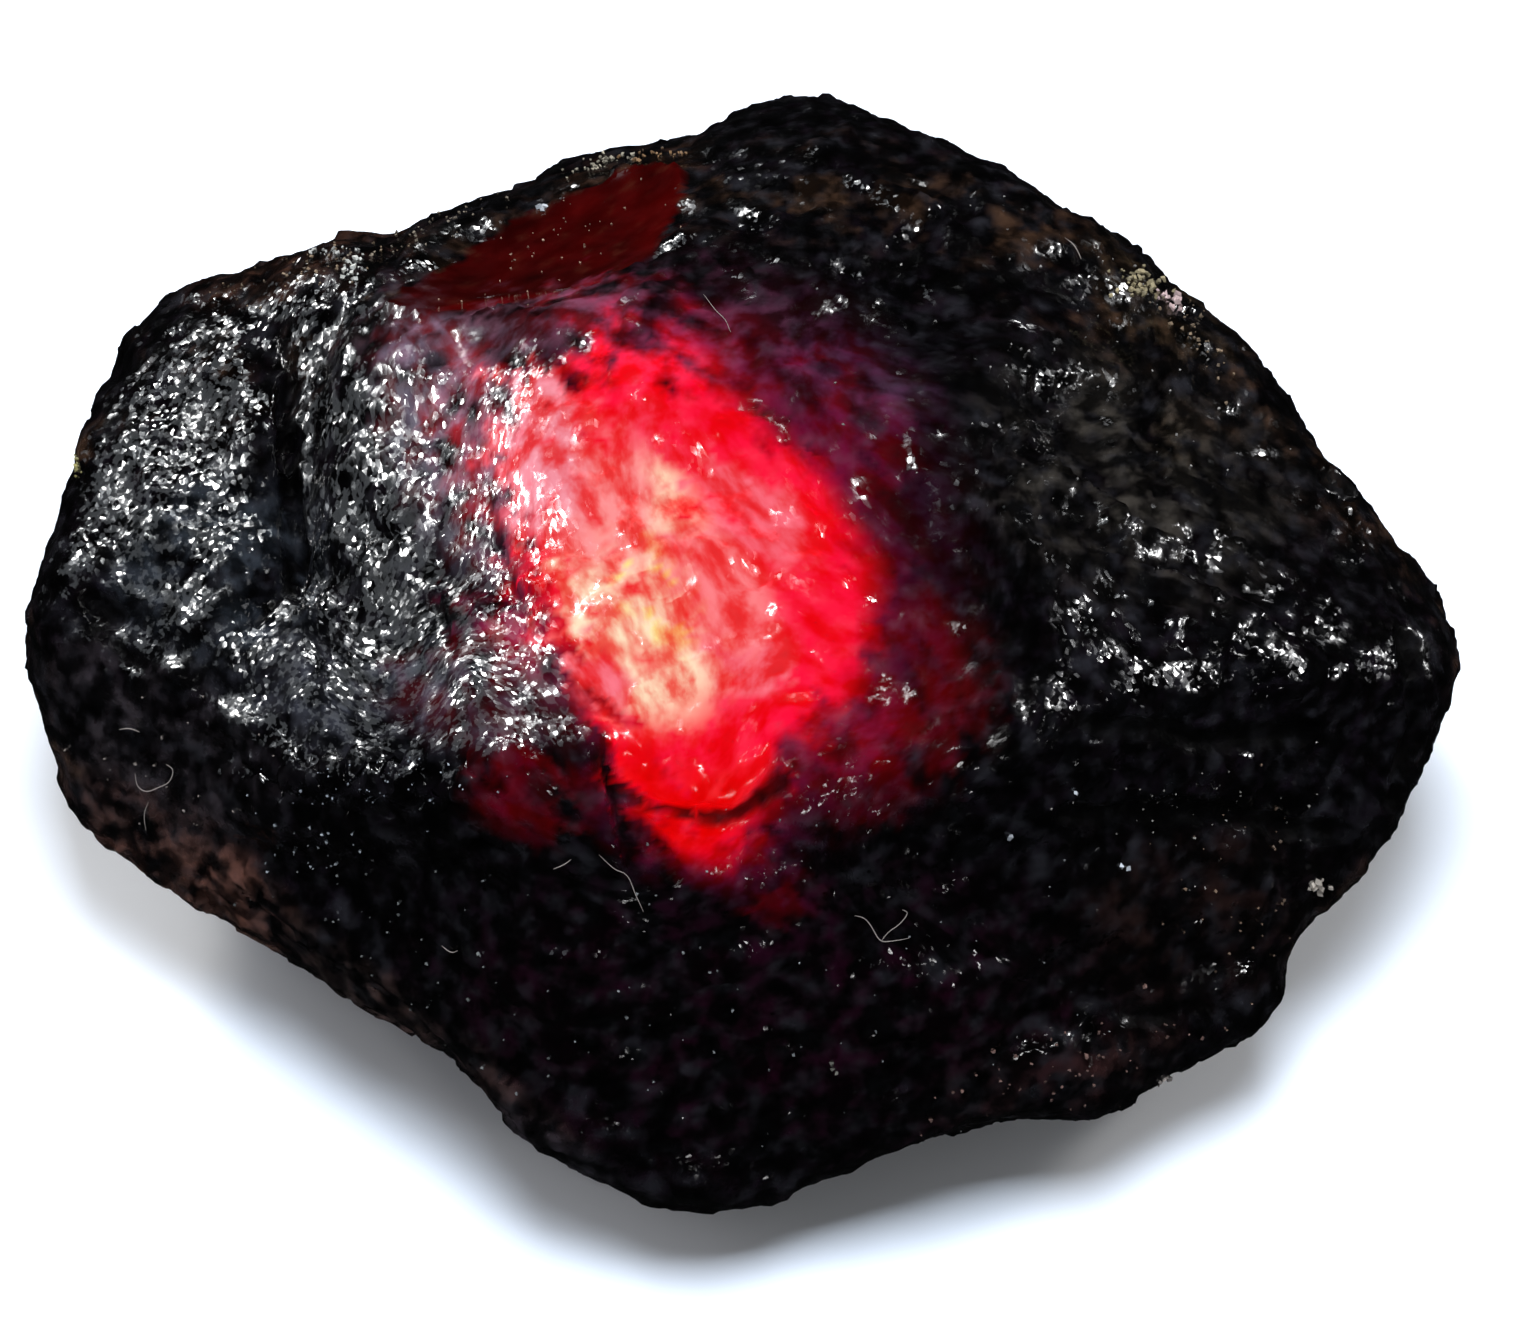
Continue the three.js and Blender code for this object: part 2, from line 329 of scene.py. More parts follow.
class Shader:
    """The node tree of a material or a world, under construction."""

    def __init__(self, owner: bpy.types.Material | bpy.types.World) -> None:
        """Empties the owner's tree.

        Args:
            owner: The material or the world.
        """
        self.owner = owner
        self.owner.use_nodes = True
        self.tree = owner.node_tree
        self.tree.nodes.clear()

    def node(
        self,
        kind: str,
        settings: Mapping[str, Any] | None = None,
        inputs: Mapping[Any, Any] | None = None,
    ) -> bpy.types.Node:
        """Adds a node.

        Args:
            kind: Its type.
            settings: Its own settings, by name.
            inputs: Numbers, colours or links for its sockets, by name or place.

        Returns:
            The node.
        """
        node = self.tree.nodes.new(kind)
        for name, value in (settings or {}).items():
            setattr(node, name, value)
        for name, value in (inputs or {}).items():
            socket = node.inputs[name]
            if isinstance(value, Field):
                self.tree.links.new(value.socket, socket)
            elif isinstance(value, bpy.types.NodeSocket):
                self.tree.links.new(value, socket)
            elif socket.type == "RGBA":
                socket.default_value = (*value, 1)
            else:
                socket.default_value = value
        return node

    def field(self, kind: str, settings: Mapping[str, Any], inputs: Mapping[Any, Any]) -> Field:
        """Adds a node and gives its first output as a field."""
        return Field(self, self.node(kind, settings, inputs).outputs[0])

    def axes(self, socket: bpy.types.NodeSocket) -> tuple[Field, ...]:
        """Parts a vector into its three numbers."""
        parts = self.node("ShaderNodeSeparateXYZ", {}, {"Vector": socket})
        return tuple(Field(self, output) for output in parts.outputs)

    def noise(self, size: float, detail: float, at: bpy.types.NodeSocket) -> bpy.types.Node:
        """Adds smooth noise from 0 to 1 whose lumps are size metres wide."""
        inputs = {"Vector": at, "Scale": 1 / size, "Detail": detail}
        return self.node("ShaderNodeTexNoise", {}, inputs)

    def cells(self, size: float, at: bpy.types.NodeSocket) -> bpy.types.Node:
        """Adds a pattern of coloured cells that are size metres wide."""
        return self.node("ShaderNodeTexVoronoi", {}, {"Vector": at, "Scale": 1 / size})

    def painted(self, name: str) -> bpy.types.Node:
        """Adds what a piece has painted on its vertices."""
        settings = {"attribute_type": "GEOMETRY", "attribute_name": name}
        return self.node("ShaderNodeAttribute", settings)

    def vector(self, operation: str, *values: Any) -> bpy.types.NodeSocket:
        """Gives the result of a Vector Math node that works on vectors."""
        inputs = dict(enumerate(values))
        return self.node("ShaderNodeVectorMath", {"operation": operation}, inputs).outputs[0]

    def scaled(self, vector: bpy.types.NodeSocket, scale: Field) -> bpy.types.NodeSocket:
        """Gives a vector or a colour times a field."""
        inputs = {0: vector, "Scale": scale}
        return self.node("ShaderNodeVectorMath", {"operation": "SCALE"}, inputs).outputs[0]

    def finish(self, surface: bpy.types.Node, volume: bpy.types.Node | None = None) -> None:
        """Links the shaders to the tree's output.

        Args:
            surface: The shader of the surface.
            volume: The shader of what is under it, or nothing.
        """
        kind = "World" if isinstance(self.owner, bpy.types.World) else "Material"
        output = self.node(f"ShaderNodeOutput{kind}", {}, {"Surface": surface.outputs[0]})
        if volume:
            self.tree.links.new(volume.outputs[0], output.inputs["Volume"])


def frame_along(way: Mark) -> Matrix:
    """Gives the turn whose first axis runs along a way on the shown side.

    Args:
        way: The way, [across, down].

    Returns:
        The turn, with its last axis out of the picture.
    """
    along = (SHOW.right * way[0] - SHOW.up * way[1]).normalized()
    aside = SHOW.out.cross(along)
    return Matrix((along, aside, SHOW.out)).transposed()


# Where things are on the shown side

SHELF = Patch((200, 470), (190, 260), 0, 0.6)
SLOPE = Patch((372, 460), (85, 190), -8, 0.6)
RIDGE = Patch((445, 430), (75, 190), -18, 0.7)
BAND = Patch((430, 690), (210, 80), 4, 0.7)
CROWN = Patch((700, 560), (230, 300), -10, 0.7)
LOW_CROWN = Patch((710, 660), (190, 170), -10, 0.7)
HIGH = Patch((720, 320), (230, 90), 8, 0.8)
BEHIND = Patch((930, 300), (280, 230), 30, 0.8)
SHOULDER = Patch((1220, 580), (240, 150), 25, 0.7)
NEAR_GROOVE = Patch((326, 470), (36, 130), 0, 0.8)
LEFT_OF_GROOVE = Patch((246, 500), (46, 100), 0, 0.8)
FAR = Patch((1140, 480), (250, 180), 25, 0.7)
EDGE = Patch((400, 752), (210, 44), 0, 0.8)
FRONT = Patch((1150, 850), (300, 130), 0, 0.7)
LOBE = Patch((125, 765), (110, 75), 35, 0.6)
# Where the facets lean to the back
HUSHED = (
    Patch((490, 336), (170, 44), -8, 0.7),
    Patch((690, 450), (220, 180), -10, 0.7),
)
# Where they lean to the front
HELD = (Patch((950, 620), (120, 190), 10, 0.8),)
# Where they lean least at random
QUIET = (
    Patch((950, 660), (120, 140), 10, 0.8),
    Patch((470, 324), (150, 30), -8, 0.8),
    Patch((690, 790), (90, 60), 0, 0.8),
    Patch((738, 374), (56, 44), 0, 0.8),
)

CLUSTERS = (
    Patch((205, 300), (45, 18), 15, 1),
    Patch((256, 540), (34, 74), 10, 1),
    Patch((250, 400), (26, 40), 0, 1),
    Patch((268, 440), (18, 70), 0, 1),
    Patch((272, 350), (14, 40), 0, 1),
    Patch((245, 325), (62, 36), 30, 1),
    Patch((178, 378), (58, 30), 5, 1),
    Patch((205, 428), (30, 18), 0, 1),
    Patch((174, 476), (58, 44), -20, 1),
    Patch((244, 472), (34, 32), 0, 1),
    Patch((114, 496), (22, 40), -15, 1),
    Patch((146, 560), (34, 46), -15, 1),
    Patch((140, 590), (42, 22), 0, 1),
    Patch((214, 588), (66, 48), 25, 1),
    Patch((245, 632), (66, 34), 20, 1),
    Patch((322, 612), (66, 50), 20, 1),
    Patch((370, 618), (46, 40), 40, 1),
    Patch((334, 684), (78, 54), 10, 1),
    Patch((318, 722), (60, 28), 10, 1),
    Patch((398, 704), (60, 30), 0, 1),
    Patch((470, 686), (60, 24), -10, 1),
    Patch((500, 736), (80, 26), 0, 1),
    Patch((545, 664), (46, 28), 10, 1),
    Patch((330, 766), (60, 22), 8, 1),
    Patch((420, 778), (56, 22), 0, 1),
    Patch((300, 800), (26, 14), 0, 1),
    Patch((482, 772), (34, 14), 0, 1),
    Patch((252, 760), (24, 18), 0, 1),
    Patch((330, 850), (18, 12), 0, 1),
    Patch((556, 708), (56, 30), 10, 1),
    Patch((408, 358), (30, 18), 35, 1),
    Patch((442, 384), (46, 32), 40, 1),
    Patch((452, 466), (60, 38), 30, 1),
    Patch((470, 412), (40, 26), 30, 1),
    Patch((516, 424), (52, 20), 15, 1),
    Patch((486, 586), (30, 30), 0, 1),
    Patch((505, 480), (40, 60), -15, 1),
    Patch((643, 404), (18, 32), 0, 1),
    Patch((520, 412), (40, 20), 20, 1),
    Patch((528, 446), (26, 30), 30, 1),
    Patch((500, 560), (22, 40), -10, 1),
    Patch((800, 655), (44, 14), -20, 1),
    Patch((820, 138), (42, 20), 20, 1),
    Patch((792, 152), (20, 12), 0, 1),
    Patch((852, 113), (18, 12), 0, 1),
    Patch((890, 132), (34, 16), 20, 1),
    Patch((734, 272), (16, 20), 0, 1),
    Patch((757, 228), (26, 20), 0, 1),
    Patch((920, 200), (30, 40), -10, 1),
    Patch((1022, 326), (50, 16), 10, 1),
    Patch((1040, 346), (28, 12), 5, 1),
    Patch((1105, 425), (20, 14), 0, 1),
    Patch((1222, 412), (26, 16), 0, 1),
    Patch((1253, 456), (32, 14), 0, 1),
    Patch((1122, 527), (30, 18), 35, 1),
    Patch((1221, 566), (36, 20), 20, 1),
    Patch((1305, 502), (38, 20), 10, 1),
    Patch((1300, 612), (64, 22), 25, 1),
    Patch((1176, 636), (34, 20), 0, 1),
    Patch((1268, 648), (80, 14), 10, 1),
    Patch((1234, 678), (50, 18), 5, 1),
    Patch((1075, 622), (36, 18), 10, 1),
    Patch((1096, 652), (26, 22), 0, 1),
    Patch((1345, 545), (30, 30), 40, 1),
)

STROKES = (
    Stroke(((286, 336), (291, 390)), 10, -0.12 * MM),
    Stroke(((290, 384), (287, 450), (292, 520), (303, 560), (297, 586)), 13, -0.8 * MM),
    Stroke(((284, 592), (264, 626)), 6, -0.18 * MM),
    Stroke(((70, 612), (110, 640), (152, 668), (200, 700), (246, 738)), 9, -0.14 * MM),
    Stroke(((98, 600), (122, 618)), 18, -0.4 * MM),
    Stroke(
        ((236, 722), (300, 748), (350, 762), (410, 754), (470, 762), (530, 748), (600, 742)),
        36,
        0.36 * MM,
    ),
    Stroke(((445, 600), (450, 622), (458, 645)), 6, -0.2 * MM),
    Stroke(((494, 498), (510, 552), (527, 602)), 5, -0.15 * MM),
    Stroke(((478, 372), (500, 450), (515, 540), (545, 640), (602, 742)), 26, 0.1 * MM),
    Stroke(((742, 410), (760, 418), (786, 431)), 8, -0.2 * MM),
    Stroke(((626, 784), (652, 800), (690, 812), (716, 812)), 9, -0.3 * MM),
    Stroke(((708, 814), (738, 806), (756, 788), (780, 776)), 13, -0.3 * MM),
    Stroke(((640, 812), (660, 838), (676, 866)), 16, -0.2 * MM),
    Stroke(((604, 748), (622, 800), (640, 868)), 10, -0.3 * MM),
    Stroke(((1100, 560), (1180, 590), (1250, 622), (1335, 668)), 34, 0.45 * MM, Profile.LEDGE),
    Stroke(((1150, 606), (1215, 634), (1290, 676)), 30, 0.4 * MM, Profile.LEDGE),
    Stroke(((1190, 520), (1260, 560), (1330, 610)), 34, 0.4 * MM, Profile.LEDGE),
    Stroke(((1050, 470), (1120, 520), (1180, 550)), 34, 0.35 * MM, Profile.LEDGE),
    Stroke(((1060, 814), (1180, 808), (1335, 832)), 16, -0.3 * MM),
    Stroke(((1080, 720), (1200, 740), (1300, 730)), 16, -0.3 * MM),
    Stroke(((1400, 640), (1412, 720), (1385, 800)), 14, -0.35 * MM),
    Stroke(((1328, 478), (1350, 492)), 12, -0.5 * MM),
    Stroke(((870, 175), (930, 200), (985, 250)), 26, 0.2 * MM, Profile.LEDGE),
    Stroke(((828, 290), (860, 312), (905, 322)), 20, 0.15 * MM, Profile.LEDGE),
    Stroke(((1120, 1000), (1140, 1012), (1160, 1010)), 16, -0.45 * MM),
)

BULGES = (
    (Patch((84, 840), (50, 90), -20, 1), 0.35 * MM),
    (Patch((385, 800), (210, 66), 3, 1), 0.8 * MM),
    (Patch((1160, 1070), (130, 50), -25, 1), 0.35 * MM),
    (Patch((1256, 1006), (50, 60), 0, 1), 0.3 * MM),
    (Patch((710, 1190), (100, 44), 0, 1), 0.35 * MM),
    (Patch((150, 300), (90, 60), -35, 1), 0.35 * MM),
    (Patch((460, 212), (80, 36), -25, 1), 0.25 * MM),
)


class Region(Enum):
    """The parts of the surface that have relief of their own."""

    ALL = "all"
    CLUSTERS = "clusters"
    SHELF = "shelf"
    SLOPE = "slope"
    RIDGE = "ridge"
    CROWN = "crown"
    BEHIND = "behind"
    SHOULDER = "shoulder"
    FRONT = "front"
    RIM = "rim"
    EDGE = "edge"


REGION_PATCHES: Mapping[Region, Sequence[Patch]] = {
    Region.CLUSTERS: CLUSTERS,
    Region.SHELF: (SHELF, BAND),
    Region.SLOPE: (SLOPE,),
    Region.RIDGE: (RIDGE,),
    Region.CROWN: (CROWN,),
    Region.BEHIND: (BEHIND,),
    Region.SHOULDER: (SHOULDER,),
    Region.FRONT: (FRONT,),
    Region.EDGE: (EDGE,),
}


@dataclass(frozen=True)
class Flow:
    """A patch whose finest grain is drawn out along a way on the shown side."""

    patch: Patch
    way: Mark
    stretch: float


FLOWS = (
    Flow(Patch((372, 460), (110, 330), -8, 1), (0.25, 1), 2.2),
    Flow(Patch((445, 430), (90, 300), -18, 1), (0.5, 1), 1.8),
    Flow(Patch((430, 690), (240, 90), 4, 1), (1, -0.1), 1.25),
    Flow(Patch((620, 570), (170, 380), -8, 1), (0.4, 1), 2.4),
    Flow(Patch((810, 520), (200, 260), -30, 1), (0.9, 1), 2.2),
    Flow(Patch((980, 400), (220, 220), 0, 1), (1, 0.3), 1.8),
    Flow(Patch((1220, 580), (300, 170), 25, 1), (1, 0.45), 1.7),
    Flow(Patch((1150, 850), (380, 150), 0, 1), (1, 0.05), 1.7),
)


class Grain(Enum):
    """The patterns of relief."""

    LUMPS = "lumps"
    PITS = "pits"
    CHIPS = "chips"


@dataclass(frozen=True)
class Relief:
    """One coat of relief. Its grains are size metres wide, drawn out along a way on the shown side.

    The depth of lumps and pits is in metres. That of chips is how far they lean.
    """

    grain: Grain
    size: float
    depth: float
    region: Region = Region.ALL
    way: Mark = (1, 0)
    stretch: float = 1


RELIEFS = (
    Relief(Grain.LUMPS, 3.2 * MM, 0.2 * MM),
    Relief(Grain.PITS, 1.9 * MM, -0.12 * MM),
    Relief(Grain.CHIPS, 2.4 * MM, 0.07),
    Relief(Grain.CHIPS, 1.1 * MM, 0.055),
    Relief(Grain.LUMPS, 0.7 * MM, 0.03 * MM),
    Relief(Grain.PITS, 1.5 * MM, -0.12 * MM, Region.SHELF),
    Relief(Grain.CHIPS, 0.8 * MM, 0.06, Region.SHELF),
    Relief(Grain.CHIPS, 0.6 * MM, 0.07, Region.CLUSTERS),
    Relief(Grain.LUMPS, 0.55 * MM, 0.07 * MM, Region.SLOPE, (0.25, 1), 6),
    Relief(Grain.CHIPS, 0.6 * MM, 0.09, Region.RIDGE, (0.5, 1), 2.5),
    Relief(Grain.LUMPS, 0.7 * MM, 0.03 * MM, Region.CROWN, (0.7, 1), 4),
    Relief(Grain.CHIPS, 0.8 * MM, 0.05, Region.BEHIND, (1, 0.4), 2.5),
    Relief(Grain.CHIPS, 1.0 * MM, 0.1, Region.SHOULDER, (1, 0.5), 3),
    Relief(Grain.CHIPS, 0.9 * MM, 0.1, Region.FRONT, (1, 0.05), 3),
    Relief(Grain.CHIPS, 1.3 * MM, 0.07, Region.RIM),
    Relief(Grain.PITS, 0.9 * MM, -0.06 * MM, Region.RIM),
    Relief(Grain.CHIPS, 1.4 * MM, 0.16, Region.EDGE),
    Relief(Grain.CHIPS, 0.7 * MM, 0.14, Region.EDGE),
)

# How squarely the surface faces the viewer where the shown side starts, and where it is full
SHOWN_FACING: Span = (-0.1, 0.25)
# How fast the layers of noise weaken, and how many times finer each next one is
NOISE_LAYERS = (1, 2)
LUMP_DETAIL = 2
# How far from a pit's middle the surface is at rest, in pits' widths
PIT_RIM = 0.5
CHIPS_TO_A_WIDTH = 1.4


class Skin:
    """What is known of a piece's surface at each of its vertices, for shaping and painting it."""

    def __init__(self, piece: bpy.types.Object) -> None:
        """Reads where the vertices are and how far they are on the shown side.

        Args:
            piece: The piece.
        """
        self.piece = piece
        self.points = self._read("co")
        self.normals = self._read("normal")
        self.across, self.down, self.near = SHOW.marks(self.points)
        self.shown = eased(self.normals @ np.array(SHOW.out), *SHOWN_FACING)

    def _read(self, what: str) -> np.ndarray:
        """Gives the vertices' places or normals.

        Args:
            what: The name that the vertices have for it.

        Returns:
            The places or normals, one to a row.
        """
        flat = np.empty(len(self.piece.data.vertices) * 3)
        self.piece.data.vertices.foreach_get(what, flat)
        return flat.reshape(-1, 3)

    def move(self, points: np.ndarray) -> None:
        """Puts the vertices at new places."""
        self.piece.data.vertices.foreach_set("co", points.ravel())
        self.piece.data.update()

    def raise_by(self, height: np.ndarray) -> None:
        """Moves the vertices along their normals."""
        self.move(self.points + self.normals * height[:, None])

    def _drawn_out(self, size: float, way: Mark, stretch: float) -> np.ndarray:
        """Gives the vertices' places in grains, which are drawn out along a way."""
        return self.points @ np.array(frame_along(way)) / (size * np.array([stretch, 1, 1]))

    def noise(
        self, size: float, detail: int = 2, way: Mark = (1, 0), stretch: float = 1
    ) -> np.ndarray:
        """Gives smooth noise at each vertex, from about -1 to 1.

        Args:
            size: How wide its lumps are, in metres.
            detail: How many finer layers it has.
            way: The way that it is drawn out along, [across, down] on the shown side.
            stretch: How many times as long as wide the lumps are.

        Returns:
            The noise.
        """
        places = self._drawn_out(size, way, stretch)
        return np.array([noise.fractal(place, *NOISE_LAYERS, detail) for place in places])

    def relief(self, coat: Relief, chance: np.random.Generator) -> np.ndarray:
        """Gives the height that a coat of relief adds at each vertex.

        Args:
            coat: The coat.
            chance: Where its random numbers come from.

        Returns:
            The heights, in metres.
        """
        if coat.grain is Grain.LUMPS:
            return self.noise(coat.size, LUMP_DETAIL, coat.way, coat.stretch) * coat.depth
        places = self._drawn_out(coat.size, coat.way, coat.stretch)
        if coat.grain is Grain.PITS:
            height = [PIT_RIM - noise.voronoi(place)[0][0] for place in places]
            return np.array(height) * coat.depth
        return self._chips(places, coat.depth, chance) * coat.size

    def _chips(self, places: np.ndarray, lean: float, chance: np.random.Generator) -> np.ndarray:
        """Gives the height of flat chips that each lean their own way.

        Args:
            places: The vertices' places, in chips' widths.
            lean: How far the chips lean.
            chance: Where the random numbers come from.

        Returns:
            The heights, in chips' widths.
        """
        seeds = places[chance.permutation(len(places))]
        step = np.floor(seeds * CHIPS_TO_A_WIDTH).astype(int)
        seeds = seeds[np.unique(step, axis=0, return_index=True)[1]]
        tree = kdtree.KDTree(len(seeds))
        for number, seed in enumerate(seeds):
            tree.insert(seed, number)
        tree.balance()
        nearest = np.array([tree.find(place)[1] for place in places])
        leans = chance.normal(0, lean, (len(seeds), 3))
        return ((places - seeds[nearest]) * leans[nearest]).sum(axis=1)

    def most(self, patches: Sequence[Patch]) -> np.ndarray:
        """Gives the share of the patch that is strongest at each vertex, on the shown side alone."""
        shares = [patch.share(self.across, self.down) for patch in patches]
        return np.max(shares, axis=0) * self.shown

    def strongest(self, groups: Weighted) -> np.ndarray:
        """Gives the share of the group of patches that weighs most at each vertex."""
        return np.max([self.most(patches) * weight for patches, weight in groups], axis=0)

    def flow(self) -> np.ndarray:
        """Gives the places that the finest grain is drawn at, squeezed along each flow's way.

        Returns:
            The places, one to a row.
        """
        places = self.points.copy()
        for flow in FLOWS:
            way = np.array(frame_along(flow.way))[:, 0]
            offset = (places - np.array(SHOW.place(flow.patch.middle))) @ way
            share = self.most([flow.patch]) * (1 - 1 / flow.stretch)
            places -= np.outer(offset * share, way)
        return places

    def paint(self, name: str, colours: np.ndarray) -> None:
        """Paints the vertices.

        Args:
            name: The name that the paint is found by.
            colours: Three or four numbers for each vertex, one vertex to a row.
        """
        attribute = self.piece.data.attributes.new(name, "FLOAT_COLOR", "POINT")
        rows = np.ones((len(colours), 4))
        rows[:, : colours.shape[1]] = colours
        attribute.data.foreach_set("color", rows.ravel())


def layered(under: np.ndarray, colour: Colour, share: np.ndarray) -> np.ndarray:
    """Lays a colour over others by a share of each vertex."""
    part = np.clip(share, 0, 1)[:, None]
    return under * (1 - part) + np.array(colour) * part


# The stone


@dataclass(frozen=True)
class Scar:
    """The smooth flake scar behind the crown: a piece of a ball, with the outline of a leaf.

    Its top and its foot are its upper and its lower edge, as marks, and its edges fade out over marks.
    """

    middle: Place = (-9.656 * MM, 14.91 * MM, 30.26 * MM)
    radius: float = 16.058 * MM
    top: tuple[Mark, ...] = (
        (340, 326), (377, 310), (446, 266), (520, 216), (600, 178), (640, 150), (700, 140),
    )
    foot: tuple[Mark, ...] = (
        (372, 312), (400, 320), (457, 317), (520, 303), (566, 294),
        (623, 274), (651, 251), (669, 234), (688, 180), (694, 130),
    )
    edge: Span = (-4, 4)
    ragged: float = 6
    ragged_size: float = 0.6 * MM
    filled: float = 0.35 * MM
    cut_share: float = 0.5
    skin: Span = (0.01 * MM, 0.05 * MM)
    buried: Span = (0.15 * MM, 0.5 * MM)

    def _depth(self, skin: Skin) -> np.ndarray:
        """Gives how deep under the ball each vertex is, in metres."""
        return np.linalg.norm(skin.points - np.array(self.middle), axis=1) - self.radius

    def _leaf(self, skin: Skin) -> np.ndarray:
        """Gives where the scar may be, between its top and its foot.

        Args:
            skin: The surface.

        Returns:
            The shares, 1 in the leaf and 0 beside it.
        """
        ragged = skin.noise(self.ragged_size) * self.ragged
        across = skin.across + ragged
        top = np.interp(across, *np.array(self.top).T)
        foot = np.interp(across, *np.array(self.foot).T)
        down = skin.down + ragged
        return eased(down - top, *self.edge) * eased(foot - down, *self.edge) * skin.shown

    def free(self, skin: Skin) -> np.ndarray:
        """Gives 0 at the vertices that are on the scar, and 1 away from it."""
        return np.maximum(eased(self._depth(skin), *self.buried), 1 - self._leaf(skin))

    def share(self, skin: Skin) -> np.ndarray:
        """Gives 1 at the vertices that lie on the ball in the scar, and 0 away from it."""
        return (1 - eased(np.abs(self._depth(skin)), *self.skin)) * self._leaf(skin)

    def cut(self, skin: Skin) -> np.ndarray:
        """Brings the vertices in the scar to the ball.

        Args:
            skin: The surface.

        Returns:
            The vertices' places.
        """
        middle = np.array(self.middle)
        offset = skin.points - middle
        reach = np.linalg.norm(offset, axis=1, keepdims=True)
        ball = middle + offset * (self.radius / reach)
        scarred = self._leaf(skin)[:, None] > self.cut_share
        return np.where((reach < self.radius + self.filled) & scarred, ball, skin.points)


@dataclass(frozen=True)
class Carving:
    """The grooves and the ledges, whose lines waver, and the bulges of the outline."""

    waver: float = 7
    waver_size: float = 1.4 * MM
    dark_depth: float = 0.3 * MM
    dark_reach: Span = (0.3, 0.95)

    def _marks(self, skin: Skin) -> tuple[np.ndarray, np.ndarray]:
        """Gives how far across and down each vertex is, with a waver."""
        waver = skin.noise(self.waver_size) * self.waver
        return skin.across + waver, skin.down + waver

    def height(self, skin: Skin) -> np.ndarray:
        """Gives the height that the carving adds at each vertex.

        Args:
            skin: The surface.

        Returns:
            The heights, in metres.
        """
        marks = self._marks(skin)
        height = np.zeros(len(skin.points))
        for stroke in STROKES:
            height += stroke.height(*marks)
        height *= skin.shown
        for patch, swell in BULGES:
            height += patch.share(skin.across, skin.down) * swell
        return height

    def cracks(self, skin: Skin) -> np.ndarray:
        """Gives how deep in a groove each vertex is.

        Args:
            skin: The surface.

        Returns:
            The shares, 1 in the depth of the deep grooves and 0 away from all.
        """
        marks = self._marks(skin)
        core, edge = self.dark_reach
        share = np.zeros(len(skin.points))
        for stroke in STROKES:
            if stroke.depth < 0:
                reach, _ = stroke.distance(*marks)
                dark = min(1, -stroke.depth / self.dark_depth)
                inside = 1 - eased(reach, stroke.width * core, stroke.width * edge)
                share = np.maximum(share, inside * dark)
        return share * skin.shown


